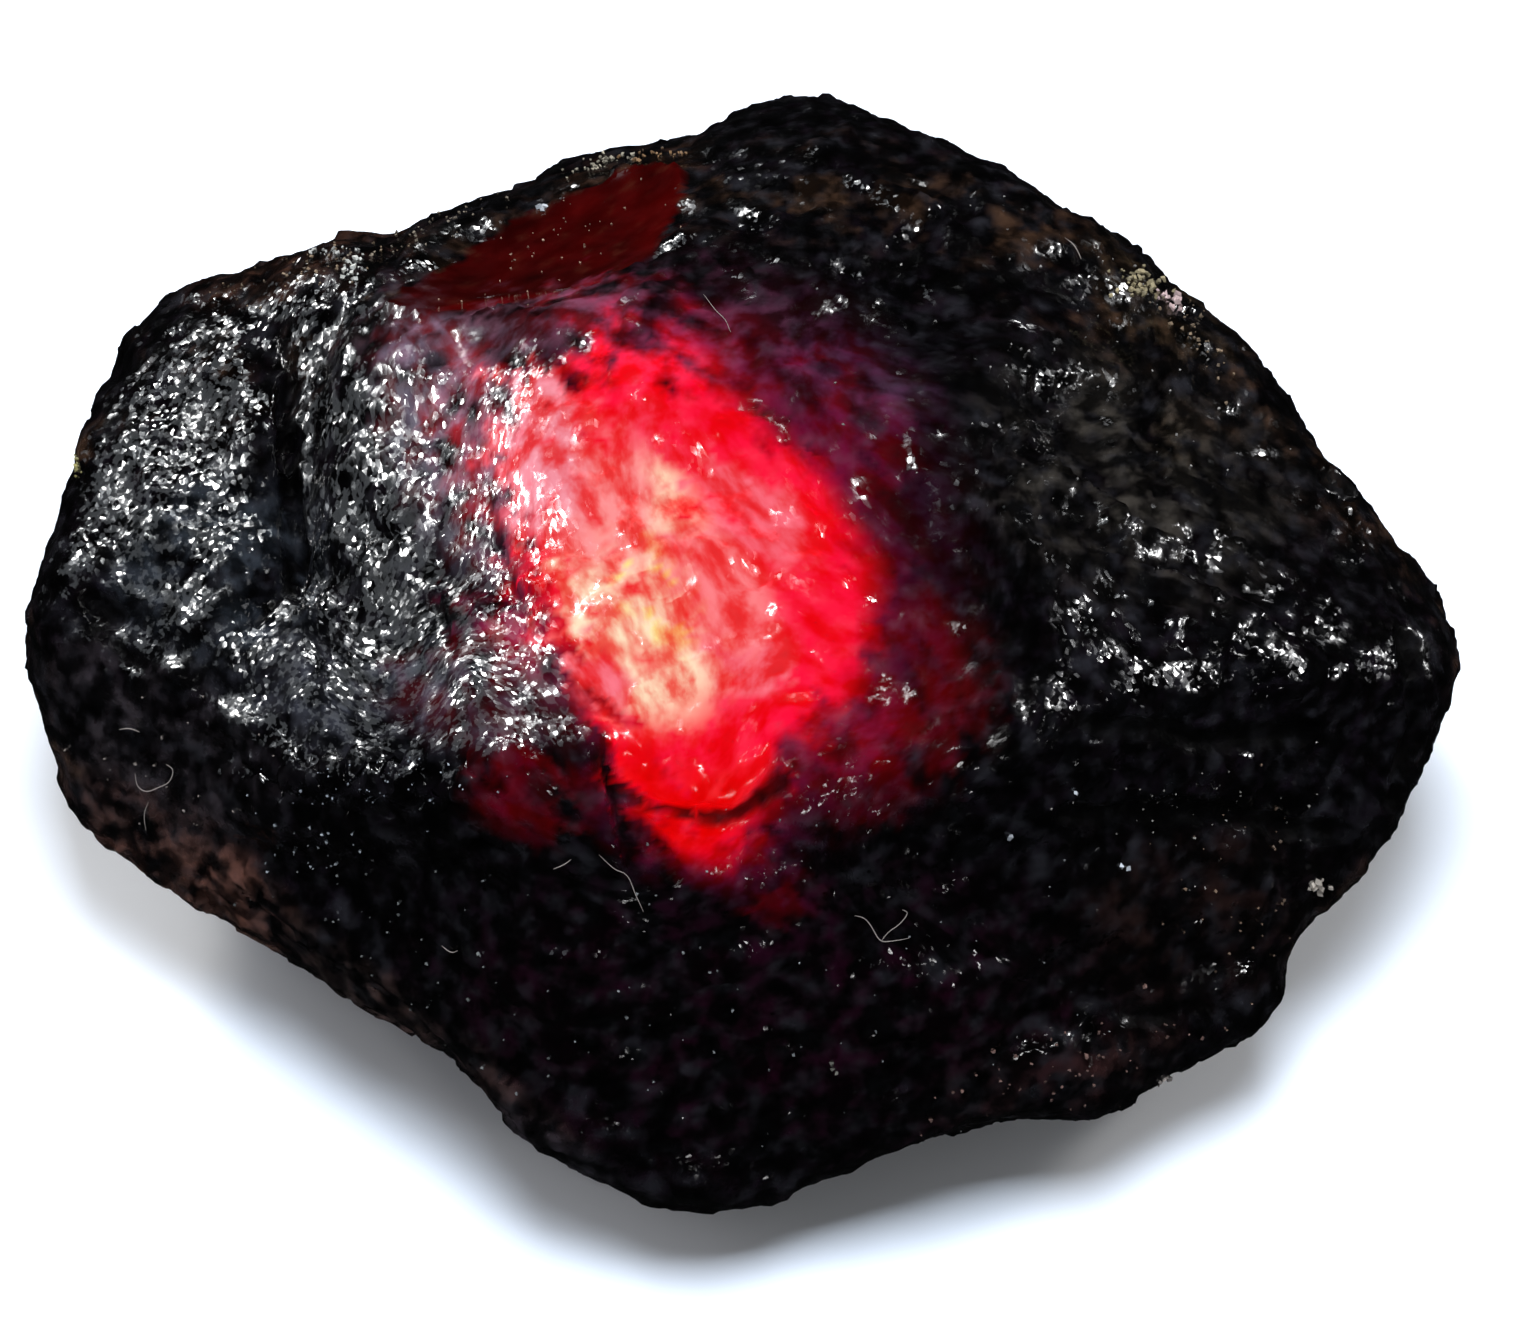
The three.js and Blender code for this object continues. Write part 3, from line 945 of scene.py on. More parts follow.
@dataclass(frozen=True)
class Garnet:
    """The stone's own piece: its solid's form with the fracture surface modelled over it."""

    grid: float = 0.216 * MM
    merge: float = 0.001 * MM
    smoothing: int = 4
    smooth_share: float = 0.5
    lobe_calm: float = 0.8
    rim_facing: Span = (0.2, 0.5)
    rim_height: Span = (1 * MM, 3 * MM)
    lifted: Span = (0.1 * MM, 0.9 * MM)
    scar: Scar = Scar()
    carving: Carving = Carving()
    seed: int = 7

    def build(self, solid: bpy.types.Object) -> bpy.types.Object:
        """Models the piece over a copy of its solid.

        Args:
            solid: The solid, which isn't changed.

        Returns:
            The piece.
        """
        piece = self._copy(solid)
        self._refine(piece)
        self._roughen(piece)
        self._carve(piece)
        self._cut_scar(piece)
        bpy.ops.object.shade_smooth()
        self._paint(piece)
        piece.data.materials.clear()
        piece.data.materials.append(GarnetCrystal().make())
        return piece

    def _copy(self, solid: bpy.types.Object) -> bpy.types.Object:
        """Copies the solid and merges its loose triangles.

        Args:
            solid: The solid.

        Returns:
            The copy, which is the active object.
        """
        bpy.ops.object.select_all(action="DESELECT")
        solid.select_set(True)
        bpy.context.view_layer.objects.active = solid
        bpy.ops.object.duplicate()
        piece = bpy.context.view_layer.objects.active
        piece.name = "garnet_crystal"
        piece.data.name = piece.name
        piece.parent = None
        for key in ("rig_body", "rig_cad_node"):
            del piece[key]
        bpy.ops.object.mode_set(mode="EDIT")
        bpy.ops.mesh.select_all(action="SELECT")
        bpy.ops.mesh.remove_doubles(threshold=self.merge)
        bpy.ops.mesh.normals_make_consistent(inside=False)
        bpy.ops.object.mode_set(mode="OBJECT")
        return piece

    def _apply(self, piece: bpy.types.Object, kind: str, **settings: Any) -> None:
        """Adds a modifier, sets it and applies it.

        Args:
            piece: The active object.
            kind: The modifier's type.
            settings: The modifier's settings, by name.
        """
        modifier = piece.modifiers.new(kind.lower(), kind)
        for name, value in settings.items():
            setattr(modifier, name, value)
        bpy.ops.object.modifier_apply(modifier=modifier.name)

    def _refine(self, piece: bpy.types.Object) -> None:
        """Lays an even grid over the solid and rounds off its triangles."""
        self._apply(piece, "REMESH", mode="VOXEL", voxel_size=self.grid, adaptivity=0)
        self._apply(piece, "SMOOTH", factor=self.smooth_share, iterations=self.smoothing)

    def _roughen(self, piece: bpy.types.Object) -> None:
        """Lays the coats of relief, faded out at the scar and on the underside.

        Args:
            piece: The piece.
        """
        skin = Skin(piece)
        chance = np.random.default_rng(self.seed)
        calm = self._free(skin) * (1 - self.lobe_calm * skin.most([LOBE]))
        height = np.zeros(len(calm))
        for coat in RELIEFS:
            height += skin.relief(coat, chance) * self._share(skin, coat.region)
        skin.raise_by(height * calm)

    def _share(self, skin: Skin, region: Region) -> np.ndarray | float:
        """Gives how far each vertex belongs to a region.

        Args:
            skin: The surface.
            region: The region.

        Returns:
            The shares, from 0 to 1, or one number for all.
        """
        if region is Region.ALL:
            return 1
        if region is Region.RIM:
            facing = np.abs(skin.normals @ np.array(SHOW.out))
            return (1 - eased(facing, *self.rim_facing)) * eased(skin.points[:, 2], *self.rim_height)
        return skin.most(REGION_PATCHES[region])

    def _free(self, skin: Skin) -> np.ndarray:
        """Gives how freely the surface may move: not at all on the scar and the underside."""
        return eased(skin.points[:, 2], *self.lifted) * self.scar.free(skin)

    def _carve(self, piece: bpy.types.Object) -> None:
        """Cuts the grooves and raises the ledges and the bulges."""
        skin = Skin(piece)
        skin.raise_by(self.carving.height(skin) * self._free(skin))

    def _cut_scar(self, piece: bpy.types.Object) -> None:
        """Cuts the scar, and keeps the underside on the ground.

        Args:
            piece: The piece.
        """
        skin = Skin(piece)
        points = self.scar.cut(skin)
        points[:, 2] = np.maximum(points[:, 2], 0)
        skin.move(points)

    def _paint(self, piece: bpy.types.Object) -> None:
        """Paints the stone's colours and painted sheen, its painted glow and its finish on its vertices.

        Args:
            piece: The piece.
        """
        skin = Skin(piece)
        scar = self.scar.share(skin)
        cracks = self.carving.cracks(skin)
        # Colours of the skin, with its painted sheen
        skin.paint("tint", SkinTint().colours(skin, scar))
        # Painted glow, for light that shines through the stone
        skin.paint("painted_glow", PaintedGlow().colours(skin, scar, cracks))
        skin.paint("finish", FacetFinish().numbers(skin, scar, cracks))
        skin.paint("flow", skin.flow())
        skin.paint("lean", FacetLean().leans(skin, cracks))


# How the stone's skin looks

DIMMED: Weighted = (((SHOULDER, FAR), 1), ((BEHIND,), 0.2))
PULLED: Weighted = (((SLOPE,), 0.28), ((BAND,), 0.36), ((NEAR_GROOVE, LEFT_OF_GROOVE), 0.42))
SUBDUED: Weighted = (
    ((*HUSHED, *HELD, HIGH), 0.5),
    ((LOW_CROWN,), 0.64),
    ((BEHIND, FAR, SHOULDER), 0.28),
)


@dataclass(frozen=True)
class FacetLean:
    """The way that all facets at a place lean: to a light in the clusters, away from it elsewhere."""

    right_marks: Span = (700, 860)
    turned_away: Span = (-0.05, 0.15)
    group_size: float = 1.3 * MM
    grouped: Span = (-0.3, 0.15)
    group_floor: float = 0.35
    broken_size: float = 0.5 * MM
    broken: Span = (-0.22, 0.3)
    turned: float = 0.85
    crack_lean: Place = (0.35, -1, -0.4)
    hushed_lean: Place = (0.08, 0.33, 0)
    held_lean: Place = (0.02, -0.27, 0)
    dimmed_lean: Place = (-0.1, 0.24, 0)

    def leans(self, skin: Skin, cracks: np.ndarray) -> np.ndarray:
        """Gives what the facets' lean adds to the normal at each vertex.

        Args:
            skin: The surface.
            cracks: How deep in a groove each vertex is.

        Returns:
            The leans, one to a row.
        """
        pull = self._cluster_pull(skin)
        away = 1 - pull
        pull = np.maximum(pull, skin.strongest(PULLED))
        lean = (self._facing(skin) - skin.normals) * pull[:, None]
        lean += np.outer(skin.most(HUSHED) * away, self.hushed_lean)
        lean += np.outer(skin.strongest(DIMMED) * away, self.dimmed_lean)
        lean += np.outer(skin.most(HELD) * away, self.held_lean)
        return lean + np.outer(cracks, self.crack_lean)

    def _facing(self, skin: Skin) -> np.ndarray:
        """Gives the way that a facet faces where it mirrors the light that is its own.

        Args:
            skin: The surface.

        Returns:
            The ways, one to a row.
        """
        right = eased(skin.across, *self.right_marks)[:, None]
        facing = mirror_to(KEY_WAY) * (1 - right) + mirror_to(RIGHT_WAY) * right
        lit = eased(skin.normals @ np.array(KEY_WAY), *self.turned_away)
        steep = (1 - lit)[:, None] * (1 - right)
        return facing * (1 - steep) + mirror_to(FRONT_WAY) * steep

    def _cluster_pull(self, skin: Skin) -> np.ndarray:
        """Gives how far the facets of the clusters turn to their light.

        Args:
            skin: The surface.

        Returns:
            The shares, from 0 to 1, broken up into groups.
        """
        pull = skin.most(CLUSTERS) * eased(skin.noise(self.broken_size), *self.broken) * self.turned
        groups = eased(skin.noise(self.group_size, 1), *self.grouped)
        return pull * (self.group_floor + (1 - self.group_floor) * groups)


@dataclass(frozen=True)
class Facets:
    """How far the facets of one size lean at random: where they are calm, patchy and glinting."""

    calm: float
    patchy: float
    glinting: float

    def lean(self, patchy: np.ndarray, quiet: np.ndarray, sparkle: np.ndarray) -> np.ndarray:
        """Gives how far they lean at each vertex.

        Args:
            patchy: How patchy it is.
            quiet: How much of its lean is left.
            sparkle: How much it glints.

        Returns:
            The leans.
        """
        resting = (patchy * self.patchy + self.calm) * quiet
        return resting * (1 - sparkle) + sparkle * self.glinting


@dataclass(frozen=True)
class FacetFinish:
    """How far the facets lean at random, and how rough they are."""

    large: Facets = Facets(0.14, 0.12, 0.18)
    small: Facets = Facets(0.3, 0.2, 0.34)
    patch_size: float = 1.4 * MM
    patchy: Span = (-0.4, 0.4)
    broken_size: float = 0.7 * MM
    broken: Span = (-0.5, 0.3)
    worn_size: float = 0.9 * MM
    worn: Span = (-0.4, 0.5)
    quiet_share: float = 0.6
    roughness: float = 0.12
    worn_roughness: float = 0.1
    glint_polish: float = 0.04
    scar_roughness: float = 0.07
    crack_roughness: float = 0.4

    def numbers(self, skin: Skin, scar: np.ndarray, cracks: np.ndarray) -> np.ndarray:
        """Gives the finish of each vertex.

        Args:
            skin: The surface.
            scar: Where the scar is.
            cracks: How deep in a groove each vertex is.

        Returns:
            The lean of large facets and of small ones, and the roughness, one vertex to a row.
        """
        patchy = eased(skin.noise(self.patch_size, 1), *self.patchy)
        sparkle = skin.most(CLUSTERS) * eased(skin.noise(self.broken_size), *self.broken)
        quiet = (1 - skin.strongest(SUBDUED)) * (1 - self.quiet_share * skin.most(QUIET))
        large = self.large.lean(patchy, quiet, sparkle) * (1 - scar)
        small = self.small.lean(patchy, quiet, sparkle) * (1 - scar)
        worn = eased(skin.noise(self.worn_size), *self.worn)
        roughness = self.roughness + self.worn_roughness * worn - self.glint_polish * sparkle
        roughness = roughness * (1 - scar) + self.scar_roughness * scar
        return np.stack([large, small, roughness + self.crack_roughness * cracks], axis=1)


@dataclass(frozen=True)
class StainOrLight:
    """A patch with a colour, used for the skin's own stains and for painted sheen and painted glow."""

    patch: Patch
    colour: Colour


# The skin's own stains, and patches of painted light that are marked below
STAINS_AND_PAINTED_LIGHT = (
    # Painted sheen: the purple-grey band under the scar
    StainOrLight(Patch((500, 325), (190, 45), -10, 1), (0.11, 0.04, 0.055)),
    # Painted glow: crimson where the crown's glow fades at its top
    StainOrLight(Patch((700, 330), (170, 90), 10, 1), (0.045, 0.012, 0.022)),
    # Painted light: a purple tinge at the crown's upper right
    StainOrLight(Patch((870, 390), (90, 40), 10, 1), (0.035, 0.014, 0.028)),
    StainOrLight(Patch((300, 265), (150, 45), -14, 1), (0.05, 0.02, 0.012)),
    StainOrLight(Patch((600, 185), (150, 40), -20, 1), (0.05, 0.022, 0.012)),
    StainOrLight(Patch((1172, 440), (40, 40), 0, 1), (0.06, 0.035, 0.016)),
    StainOrLight(Patch((1170, 300), (120, 70), 40, 1), (0.04, 0.024, 0.012)),
    StainOrLight(Patch((1180, 920), (180, 110), -20, 1), (0.012, 0.005, 0.004)),
    StainOrLight(Patch((1040, 1070), (170, 50), -14, 1), (0.03, 0.012, 0.01)),
    StainOrLight(Patch((180, 870), (180, 74), 38, 1), (0.19, 0.075, 0.05)),
    StainOrLight(Patch((430, 1030), (240, 34), 38, 1), (0.08, 0.045, 0.036)),
    StainOrLight(Patch((560, 1150), (110, 30), 40, 1), (0.035, 0.03, 0.036)),
    # Painted sheen: a faint haze on the smooth lobe
    StainOrLight(Patch((150, 750), (170, 120), 30, 1), (0.03, 0.023, 0.025)),
    StainOrLight(Patch((760, 1000), (420, 200), 0, 1), (0.012, 0.0008, 0.005)),
    StainOrLight(Patch((1130, 480), (210, 150), 20, 1), (0.034, 0.028, 0.022)),
    # Painted sheen: a blue-grey haze on the left face
    StainOrLight(Patch((230, 570), (140, 120), 0, 1), (0.03, 0.034, 0.04)),
    # Painted sheen: a blue-grey haze on the band
    StainOrLight(Patch((400, 690), (210, 80), 0, 1), (0.03, 0.03, 0.036)),
)


@dataclass(frozen=True)
class SkinTint:
    """The skin's colours: black, stained, browner at the rims, red in the scar, and with painted sheen."""

    black: Colour = (0.0012, 0.0006, 0.0008)
    speckled: Colour = (0.005, 0.003, 0.005)
    rusty: Colour = (0.045, 0.022, 0.012)
    # Painted sheen: a faint grey mottling that stands in for dull reflections on the dark skin
    painted_sheen: Colour = (0.014, 0.013, 0.015)
    scarred: Colour = (0.006, 0.0003, 0.0003)
    dusty: Colour = (0.05, 0.022, 0.01)
    stain_size: float = 1.6 * MM
    speck_size: float = 0.5 * MM
    sheen_size: float = 0.6 * MM
    detail: int = 3
    rim_reach: Span = (0.3 * MM, 3.2 * MM)
    specks: Span = (-0.2, 0.6)
    stain_and_sheen_breakup: Span = (-0.6, 0.5)
    rust: Span = (0, 0.8)
    rust_specks: float = 0.7
    sheen: Span = (-0.2, 0.9)
    dust: Span = (0.2, 0.9)
    dust_stains: float = 0.5
    dust_share: float = 0.25
    wash: float = 1.66

    def colours(self, skin: Skin, scar: np.ndarray) -> np.ndarray:
        """Gives the colour of each vertex.

        Args:
            skin: The surface.
            scar: Where the scar is.

        Returns:
            The colours, one to a row.
        """
        stain = skin.noise(self.stain_size, self.detail)
        speck = skin.noise(self.speck_size)
        sheen = skin.noise(self.sheen_size, self.detail)
        rim = 1 - eased(np.abs(skin.near), *self.rim_reach)
        rust = eased(stain + speck * self.rust_specks, *self.rust)
        dust = eased(speck + stain * self.dust_stains, *self.dust) * self.dust_share
        colours = np.tile(np.array(self.black), (len(scar), 1))
        colours = layered(colours, self.speckled, eased(speck, *self.specks))
        # Stains, and patches of painted sheen and glow
        for stain_or_light in STAINS_AND_PAINTED_LIGHT:
            share = skin.most([stain_or_light.patch]) * eased(speck + stain, *self.stain_and_sheen_breakup)
            colours = layered(colours, stain_or_light.colour, share)
        colours = layered(colours, self.rusty, rim * rust)
        # Painted sheen over the whole skin
        colours = layered(colours, self.painted_sheen, eased(sheen, *self.sheen))
        colours = layered(colours, self.scarred, scar)
        colours = layered(colours, self.dusty, scar * dust)
        return np.minimum(colours * self.wash, 1)


@dataclass(frozen=True)
class Streak:
    """Drawn-out noise in the painted glow.

    It moves the light by shift, in marks, and adds to how strong the light is and how much it shines.
    """

    size: float
    detail: int
    stretch: float
    shift: Mark
    light: float
    shine: float
    way: Mark = (0.8, 1)

    def at(self, skin: Skin) -> np.ndarray:
        """Gives the noise at each vertex."""
        return skin.noise(self.size, self.detail, self.way, self.stretch)


@dataclass(frozen=True)
class PaintedGlow:
    """Painted glow in the crown and faintly in the scar, for light that shines through the stone.

    At each of its rows, in marks down the picture, the lit part reaches from left to right.
    """

    rows: tuple[float, ...] = (280, 330, 380, 430, 500, 560, 620, 680, 740, 800, 870, 920)
    left: tuple[float, ...] = (620, 560, 490, 490, 495, 505, 530, 565, 606, 620, 650, 720)
    right: tuple[float, ...] = (700, 722, 752, 790, 850, 890, 893, 872, 820, 790, 782, 770)
    left_edge: Span = (-50, 60)
    right_edge: Span = (-85, 35)
    top_edge: Span = (265, 470)
    foot_edge: Span = (820, 915)
    body_light: float = 0.62
    high: Patch = Patch((600, 430), (130, 120), 0, 1)
    high_light: float = 0.3
    low: Patch = Patch((700, 640), (130, 90), 30, 1)
    low_light: float = 0.18
    halo: Patch = Patch((740, 560), (280, 350), 0, 1)
    halo_edge: Span = (-60, 40)
    halo_light: float = 0.26
    streak: Streak = Streak(0.7 * MM, 3, 3.2, (22, 26), 0.18, 0.75)
    fleck: Streak = Streak(0.35 * MM, 2, 2.2, (16, 10), 0.1, 0.5)
    streaked: Span = (0, 0.5)
    lobe_glow_colour: Colour = (0.8, 0.0002, 0.001)
    lobe_edge: Span = (735, 790)
    lobe_light: Span = (0.5, 0.7)
    bright: Span = (0.4, 0.75)
    shining: Span = (0.12, 0.95)
    hot: StainOrLight = StainOrLight(Patch((664, 606), (46, 80), -30, 1), (0.95, 0.5, 0.08))
    hot_streaks: Span = (0, 0.5)
    hot_share: float = 0.8
    ember_streaks: Span = (-0.7, 0.5)
    crack_shade: float = 0.9
    scar_glow_colour: Colour = (1, 0.01, 0.01)
    scar_light: float = 0.024
    scar_gain: float = 0.022
    scar_slant: float = 0.8
    scar_rise: Span = (260, 520)
    scar_mottle: float = 0.6
    scar_mottle_size: float = 1.1 * MM
    scar_mottle_detail: int = 3

    def colours(self, skin: Skin, scar: np.ndarray, cracks: np.ndarray) -> np.ndarray:
        """Gives the colour of the painted glow at each vertex.

        Args:
            skin: The surface.
            scar: Where the scar is.
            cracks: How deep in a groove each vertex is.

        Returns:
            The colours, one to a row.
        """
        streak = self.streak.at(skin)
        fleck = self.fleck.at(skin)
        x = skin.across + streak * self.streak.shift[0] + fleck * self.fleck.shift[0]
        y = skin.down + streak * self.streak.shift[1] + fleck * self.fleck.shift[1]
        body = self._body(x, y)
        stirred = streak * self.streak.light + fleck * self.fleck.light
        light = self._light(x, y, body) + stirred * eased(body, *self.streaked)
        colours = np.zeros((len(light), 3))
        for colour, low, high in PAINTED_GLOW_LAYERS:
            colours = layered(colours, colour, eased(light, low, high))
        lobe = eased(y, *self.lobe_edge)
        colours = layered(colours, self.lobe_glow_colour, lobe * eased(light, *self.lobe_light))
        bright = eased(light, *self.bright) * (1 - lobe)
        mottle = 1 + streak * self.streak.shine + fleck * self.fleck.shine
        for shine in SHINES:
            share = eased(shine.patch.share(x, y) * mottle, *self.shining)
            colours = layered(colours, shine.colour, share * bright)
        hot = self.hot.patch.share(x, y) * eased(streak + fleck, *self.hot_streaks)
        colours = layered(colours, self.hot.colour, hot * bright * self.hot_share)
        for ember in EMBERS:
            share = ember.patch.share(x, y) * eased(streak, *self.ember_streaks) * (1 - body)
            colours = colours + np.outer(share, ember.colour)
        # Painted shade: the painted glow is dimmed in the grooves
        colours = colours * (1 - self.crack_shade * cracks[:, None])
        return (colours + self._scar_light(skin, scar)) * skin.shown[:, None]

    def _body(self, x: np.ndarray, y: np.ndarray) -> np.ndarray:
        """Gives where the lit part is.

        Args:
            x: How far across the picture each vertex is.
            y: How far down it is.

        Returns:
            The shares, 1 well inside the lit part and 0 outside it.
        """
        left = np.interp(y, self.rows, self.left)
        right = np.interp(y, self.rows, self.right)
        body = eased(x - left, *self.left_edge) * (1 - eased(x - right, *self.right_edge))
        return body * eased(y, *self.top_edge) * (1 - eased(y, *self.foot_edge))

    def _light(self, x: np.ndarray, y: np.ndarray, body: np.ndarray) -> np.ndarray:
        """Gives how strong the painted glow is.

        Args:
            x: How far across the picture each vertex is.
            y: How far down it is.
            body: Where the lit part is.

        Returns:
            The strengths, from 0 to about 1.
        """
        inside = x - np.interp(y, self.rows, self.left)
        halo = self.halo.share(x, y) * eased(inside, *self.halo_edge)
        high = self.high.share(x, y) * self.high_light
        low = self.low.share(x, y) * self.low_light
        return body * (self.body_light + high + low) + halo * self.halo_light

    def _scar_light(self, skin: Skin, scar: np.ndarray) -> np.ndarray:
        """Gives the painted glow in the scar, stronger to its upper right.

        Args:
            skin: The surface.
            scar: Where the scar is.

        Returns:
            The colours, one to a row.
        """
        rise = eased(skin.across - skin.down * self.scar_slant, *self.scar_rise)
        mottle = skin.noise(self.scar_mottle_size, self.scar_mottle_detail)
        mottled = 1 + self.scar_mottle * mottle
        strength = (self.scar_light + self.scar_gain * rise) * scar * mottled
        return np.outer(strength, self.scar_glow_colour)


# Painted glow: its colours by strength, from dim crimson to red and pale red
PAINTED_GLOW_LAYERS = (
    ((0.014, 0.0006, 0.004), 0.02, 0.18),
    ((0.07, 0.001, 0.01), 0.14, 0.34),
    ((0.4, 0.0008, 0.009), 0.3, 0.54),
    ((0.92, 0.002, 0.022), 0.46, 0.7),
    ((0.9, 0.03, 0.06), 0.85, 1.15),
)

# Painted glow: the salmon core and paler patches in it; the pink at the left also stands in for a milky
# reflection over the red
SHINES = (
    StainOrLight(Patch((650, 600), (115, 170), -12, 1), (0.95, 0.45, 0.31)),
    StainOrLight(Patch((600, 500), (80, 110), -20, 1), (0.93, 0.16, 0.16)),
    StainOrLight(Patch((530, 440), (80, 150), -15, 1), (0.86, 0.17, 0.21)),
    StainOrLight(Patch((720, 600), (70, 120), -25, 1), (0.93, 0.12, 0.13)),
    StainOrLight(Patch((760, 520), (90, 50), 40, 1), (0.9, 0.08, 0.11)),
    StainOrLight(Patch((760, 670), (60, 30), -10, 1), (0.9, 0.09, 0.12)),
    StainOrLight(Patch((600, 680), (60, 40), 20, 1), (0.9, 0.1, 0.13)),
)

# Painted glow added round the lit part: dim crimson, and pink and purple sheen at its left and under the
# scar
EMBERS = (
    StainOrLight(Patch((540, 790), (90, 55), 10, 1), (0.1, 0.0006, 0.006)),
    StainOrLight(Patch((920, 690), (84, 110), 10, 1), (0.09, 0.0006, 0.004)),
    StainOrLight(Patch((850, 760), (100, 80), 0, 1), (0.06, 0.0004, 0.004)),
    StainOrLight(Patch((500, 640), (50, 50), 0, 1), (0.12, 0.004, 0.02)),
    StainOrLight(Patch((500, 470), (66, 140), -15, 1), (0.34, 0.05, 0.08)),
    StainOrLight(Patch((640, 370), (110, 60), -10, 1), (0.3, 0.004, 0.02)),
    StainOrLight(Patch((545, 640), (50, 60), -30, 1), (0.3, 0.01, 0.03)),
    StainOrLight(Patch((775, 890), (50, 30), -20, 1), (0.07, 0.002, 0.012)),
    StainOrLight(Patch((455, 440), (75, 180), -18, 1), (0.12, 0.06, 0.085)),
    StainOrLight(Patch((660, 340), (140, 60), 10, 1), (0.14, 0.006, 0.022)),
    StainOrLight(Patch((830, 440), (110, 90), 40, 1), (0.1, 0.001, 0.012)),
    StainOrLight(Patch((840, 730), (70, 60), -30, 1), (0.14, 0.001, 0.01)),
    StainOrLight(Patch((500, 700), (130, 60), 5, 1), (0.06, 0.012, 0.022)),
    StainOrLight(Patch((520, 335), (170, 45), -10, 1), (0.06, 0.018, 0.03)),
    StainOrLight(Patch((850, 390), (110, 60), 20, 1), (0.02, 0.003, 0.011)),
)


@dataclass(frozen=True)
class GarnetCrystal:
    """The finish of the stone: dark see-through crystal whose fractured skin glints.

    Facets and grit are in metres. Flecks of noise vary the skin's tint and mottle its painted glow.
    """

    refraction: float = 1.74
    through: float = 0.8
    passed: Colour = (0.75, 0.04, 0.02)
    density: float = 2400
    glow: float = 1
    large_facet: float = 0.3 * MM
    small_facet: float = 0.15 * MM
    grit: float = 0.1 * MM
    grit_lean: float = 0.14
    middle: Colour = (0.5, 0.5, 0.5)
    fleck_size: float = 0.8 * MM
    fleck_detail: float = 7
    tinted: Span = (0.4, 0.68)
    tint_gain: float = 2.3
    tint_floor: float = 0.25
    pale: Span = (0.36, 0.64)
    pale_gain: float = 1.6
    pale_floor: float = 0.2
    red_gain: float = 0.7
    red_floor: float = 0.65

    def make(self) -> bpy.types.Material:
        """Makes the material.

        Returns:
            The material.
        """
        shader = Shader(bpy.data.materials.new("garnet_crystal"))
        large, small, roughness = shader.axes(shader.painted("finish").outputs["Color"])
        tint = shader.painted("tint").outputs["Color"]
        painted_glow = shader.painted("painted_glow").outputs["Color"]
        flow = shader.painted("flow").outputs["Vector"]
        fleck = Field(shader, shader.noise(self.fleck_size, self.fleck_detail, flow).outputs[0])
        shade = fleck.eased(*self.tinted) * self.tint_gain + self.tint_floor
        settings = {
            # The tint holds the skin's stains and its painted sheen
            "Base Color": shader.scaled(tint, shade),
            "Roughness": roughness,
            "IOR": self.refraction,
            "Transmission Weight": self.through,
            "Normal": self._normal(shader, flow, large, small),
            # Painted glow: emission for light that shines through the stone
            "Emission Color": shader.vector("MULTIPLY", painted_glow, self._mottle(shader, fleck)),
            "Emission Strength": self.glow,
        }
        surface = shader.node("ShaderNodeBsdfPrincipled", {}, settings)
        settings = {"Color": self.passed, "Density": self.density}
        shader.finish(surface, shader.node("ShaderNodeVolumeAbsorption", {}, settings))
        return shader.owner

    def _mottle(self, shader: Shader, fleck: Field) -> bpy.types.NodeSocket:
        """Gives what the painted glow is multiplied by: its red varies less than the rest.

        Args:
            shader: The tree that it is for.
            fleck: The noise that it follows.

        Returns:
            The three factors.
        """
        pale = fleck.eased(*self.pale) * self.pale_gain + self.pale_floor
        inputs = {"X": fleck * self.red_gain + self.red_floor, "Y": pale, "Z": pale}
        return shader.node("ShaderNodeCombineXYZ", {}, inputs).outputs[0]

    def _normal(
        self, shader: Shader, flow: bpy.types.NodeSocket, large: Field, small: Field
    ) -> bpy.types.NodeSocket:
        """Leans the skin as it is painted, in facets of two sizes and in grit.

        Args:
            shader: The tree that it is for.
            flow: Where the facets are drawn.
            large: How much the large facets lean.
            small: How much the small ones do.

        Returns:
            The normal.
        """
        coarse = self._lean(shader, shader.cells(self.large_facet, flow), large)
        fine = self._lean(shader, shader.cells(self.small_facet, flow), small)
        worn = self._lean(shader, shader.noise(self.grit, 1, flow), (large + small) * self.grit_lean)
        leaning = shader.vector("ADD", shader.vector("ADD", coarse, fine), worn)
        leaning = shader.vector("ADD", leaning, shader.painted("lean").outputs["Vector"])
        geometry = shader.node("ShaderNodeNewGeometry").outputs["Normal"]
        return shader.vector("NORMALIZE", shader.vector("ADD", geometry, leaning))

    def _lean(self, shader: Shader, pattern: bpy.types.Node, amount: Field) -> bpy.types.NodeSocket:
        """Turns a pattern's colours into leans of the surface."""
        lean = shader.vector("SUBTRACT", pattern.outputs["Color"], self.middle)
        return shader.scaled(lean, amount)


# What lies on the stone


@dataclass(frozen=True)
class Bed:
    """A patch where grains lie: how many, how wide in metres, and their colour."""

    patch: Patch
    count: int
    width: float
    colour: Colour


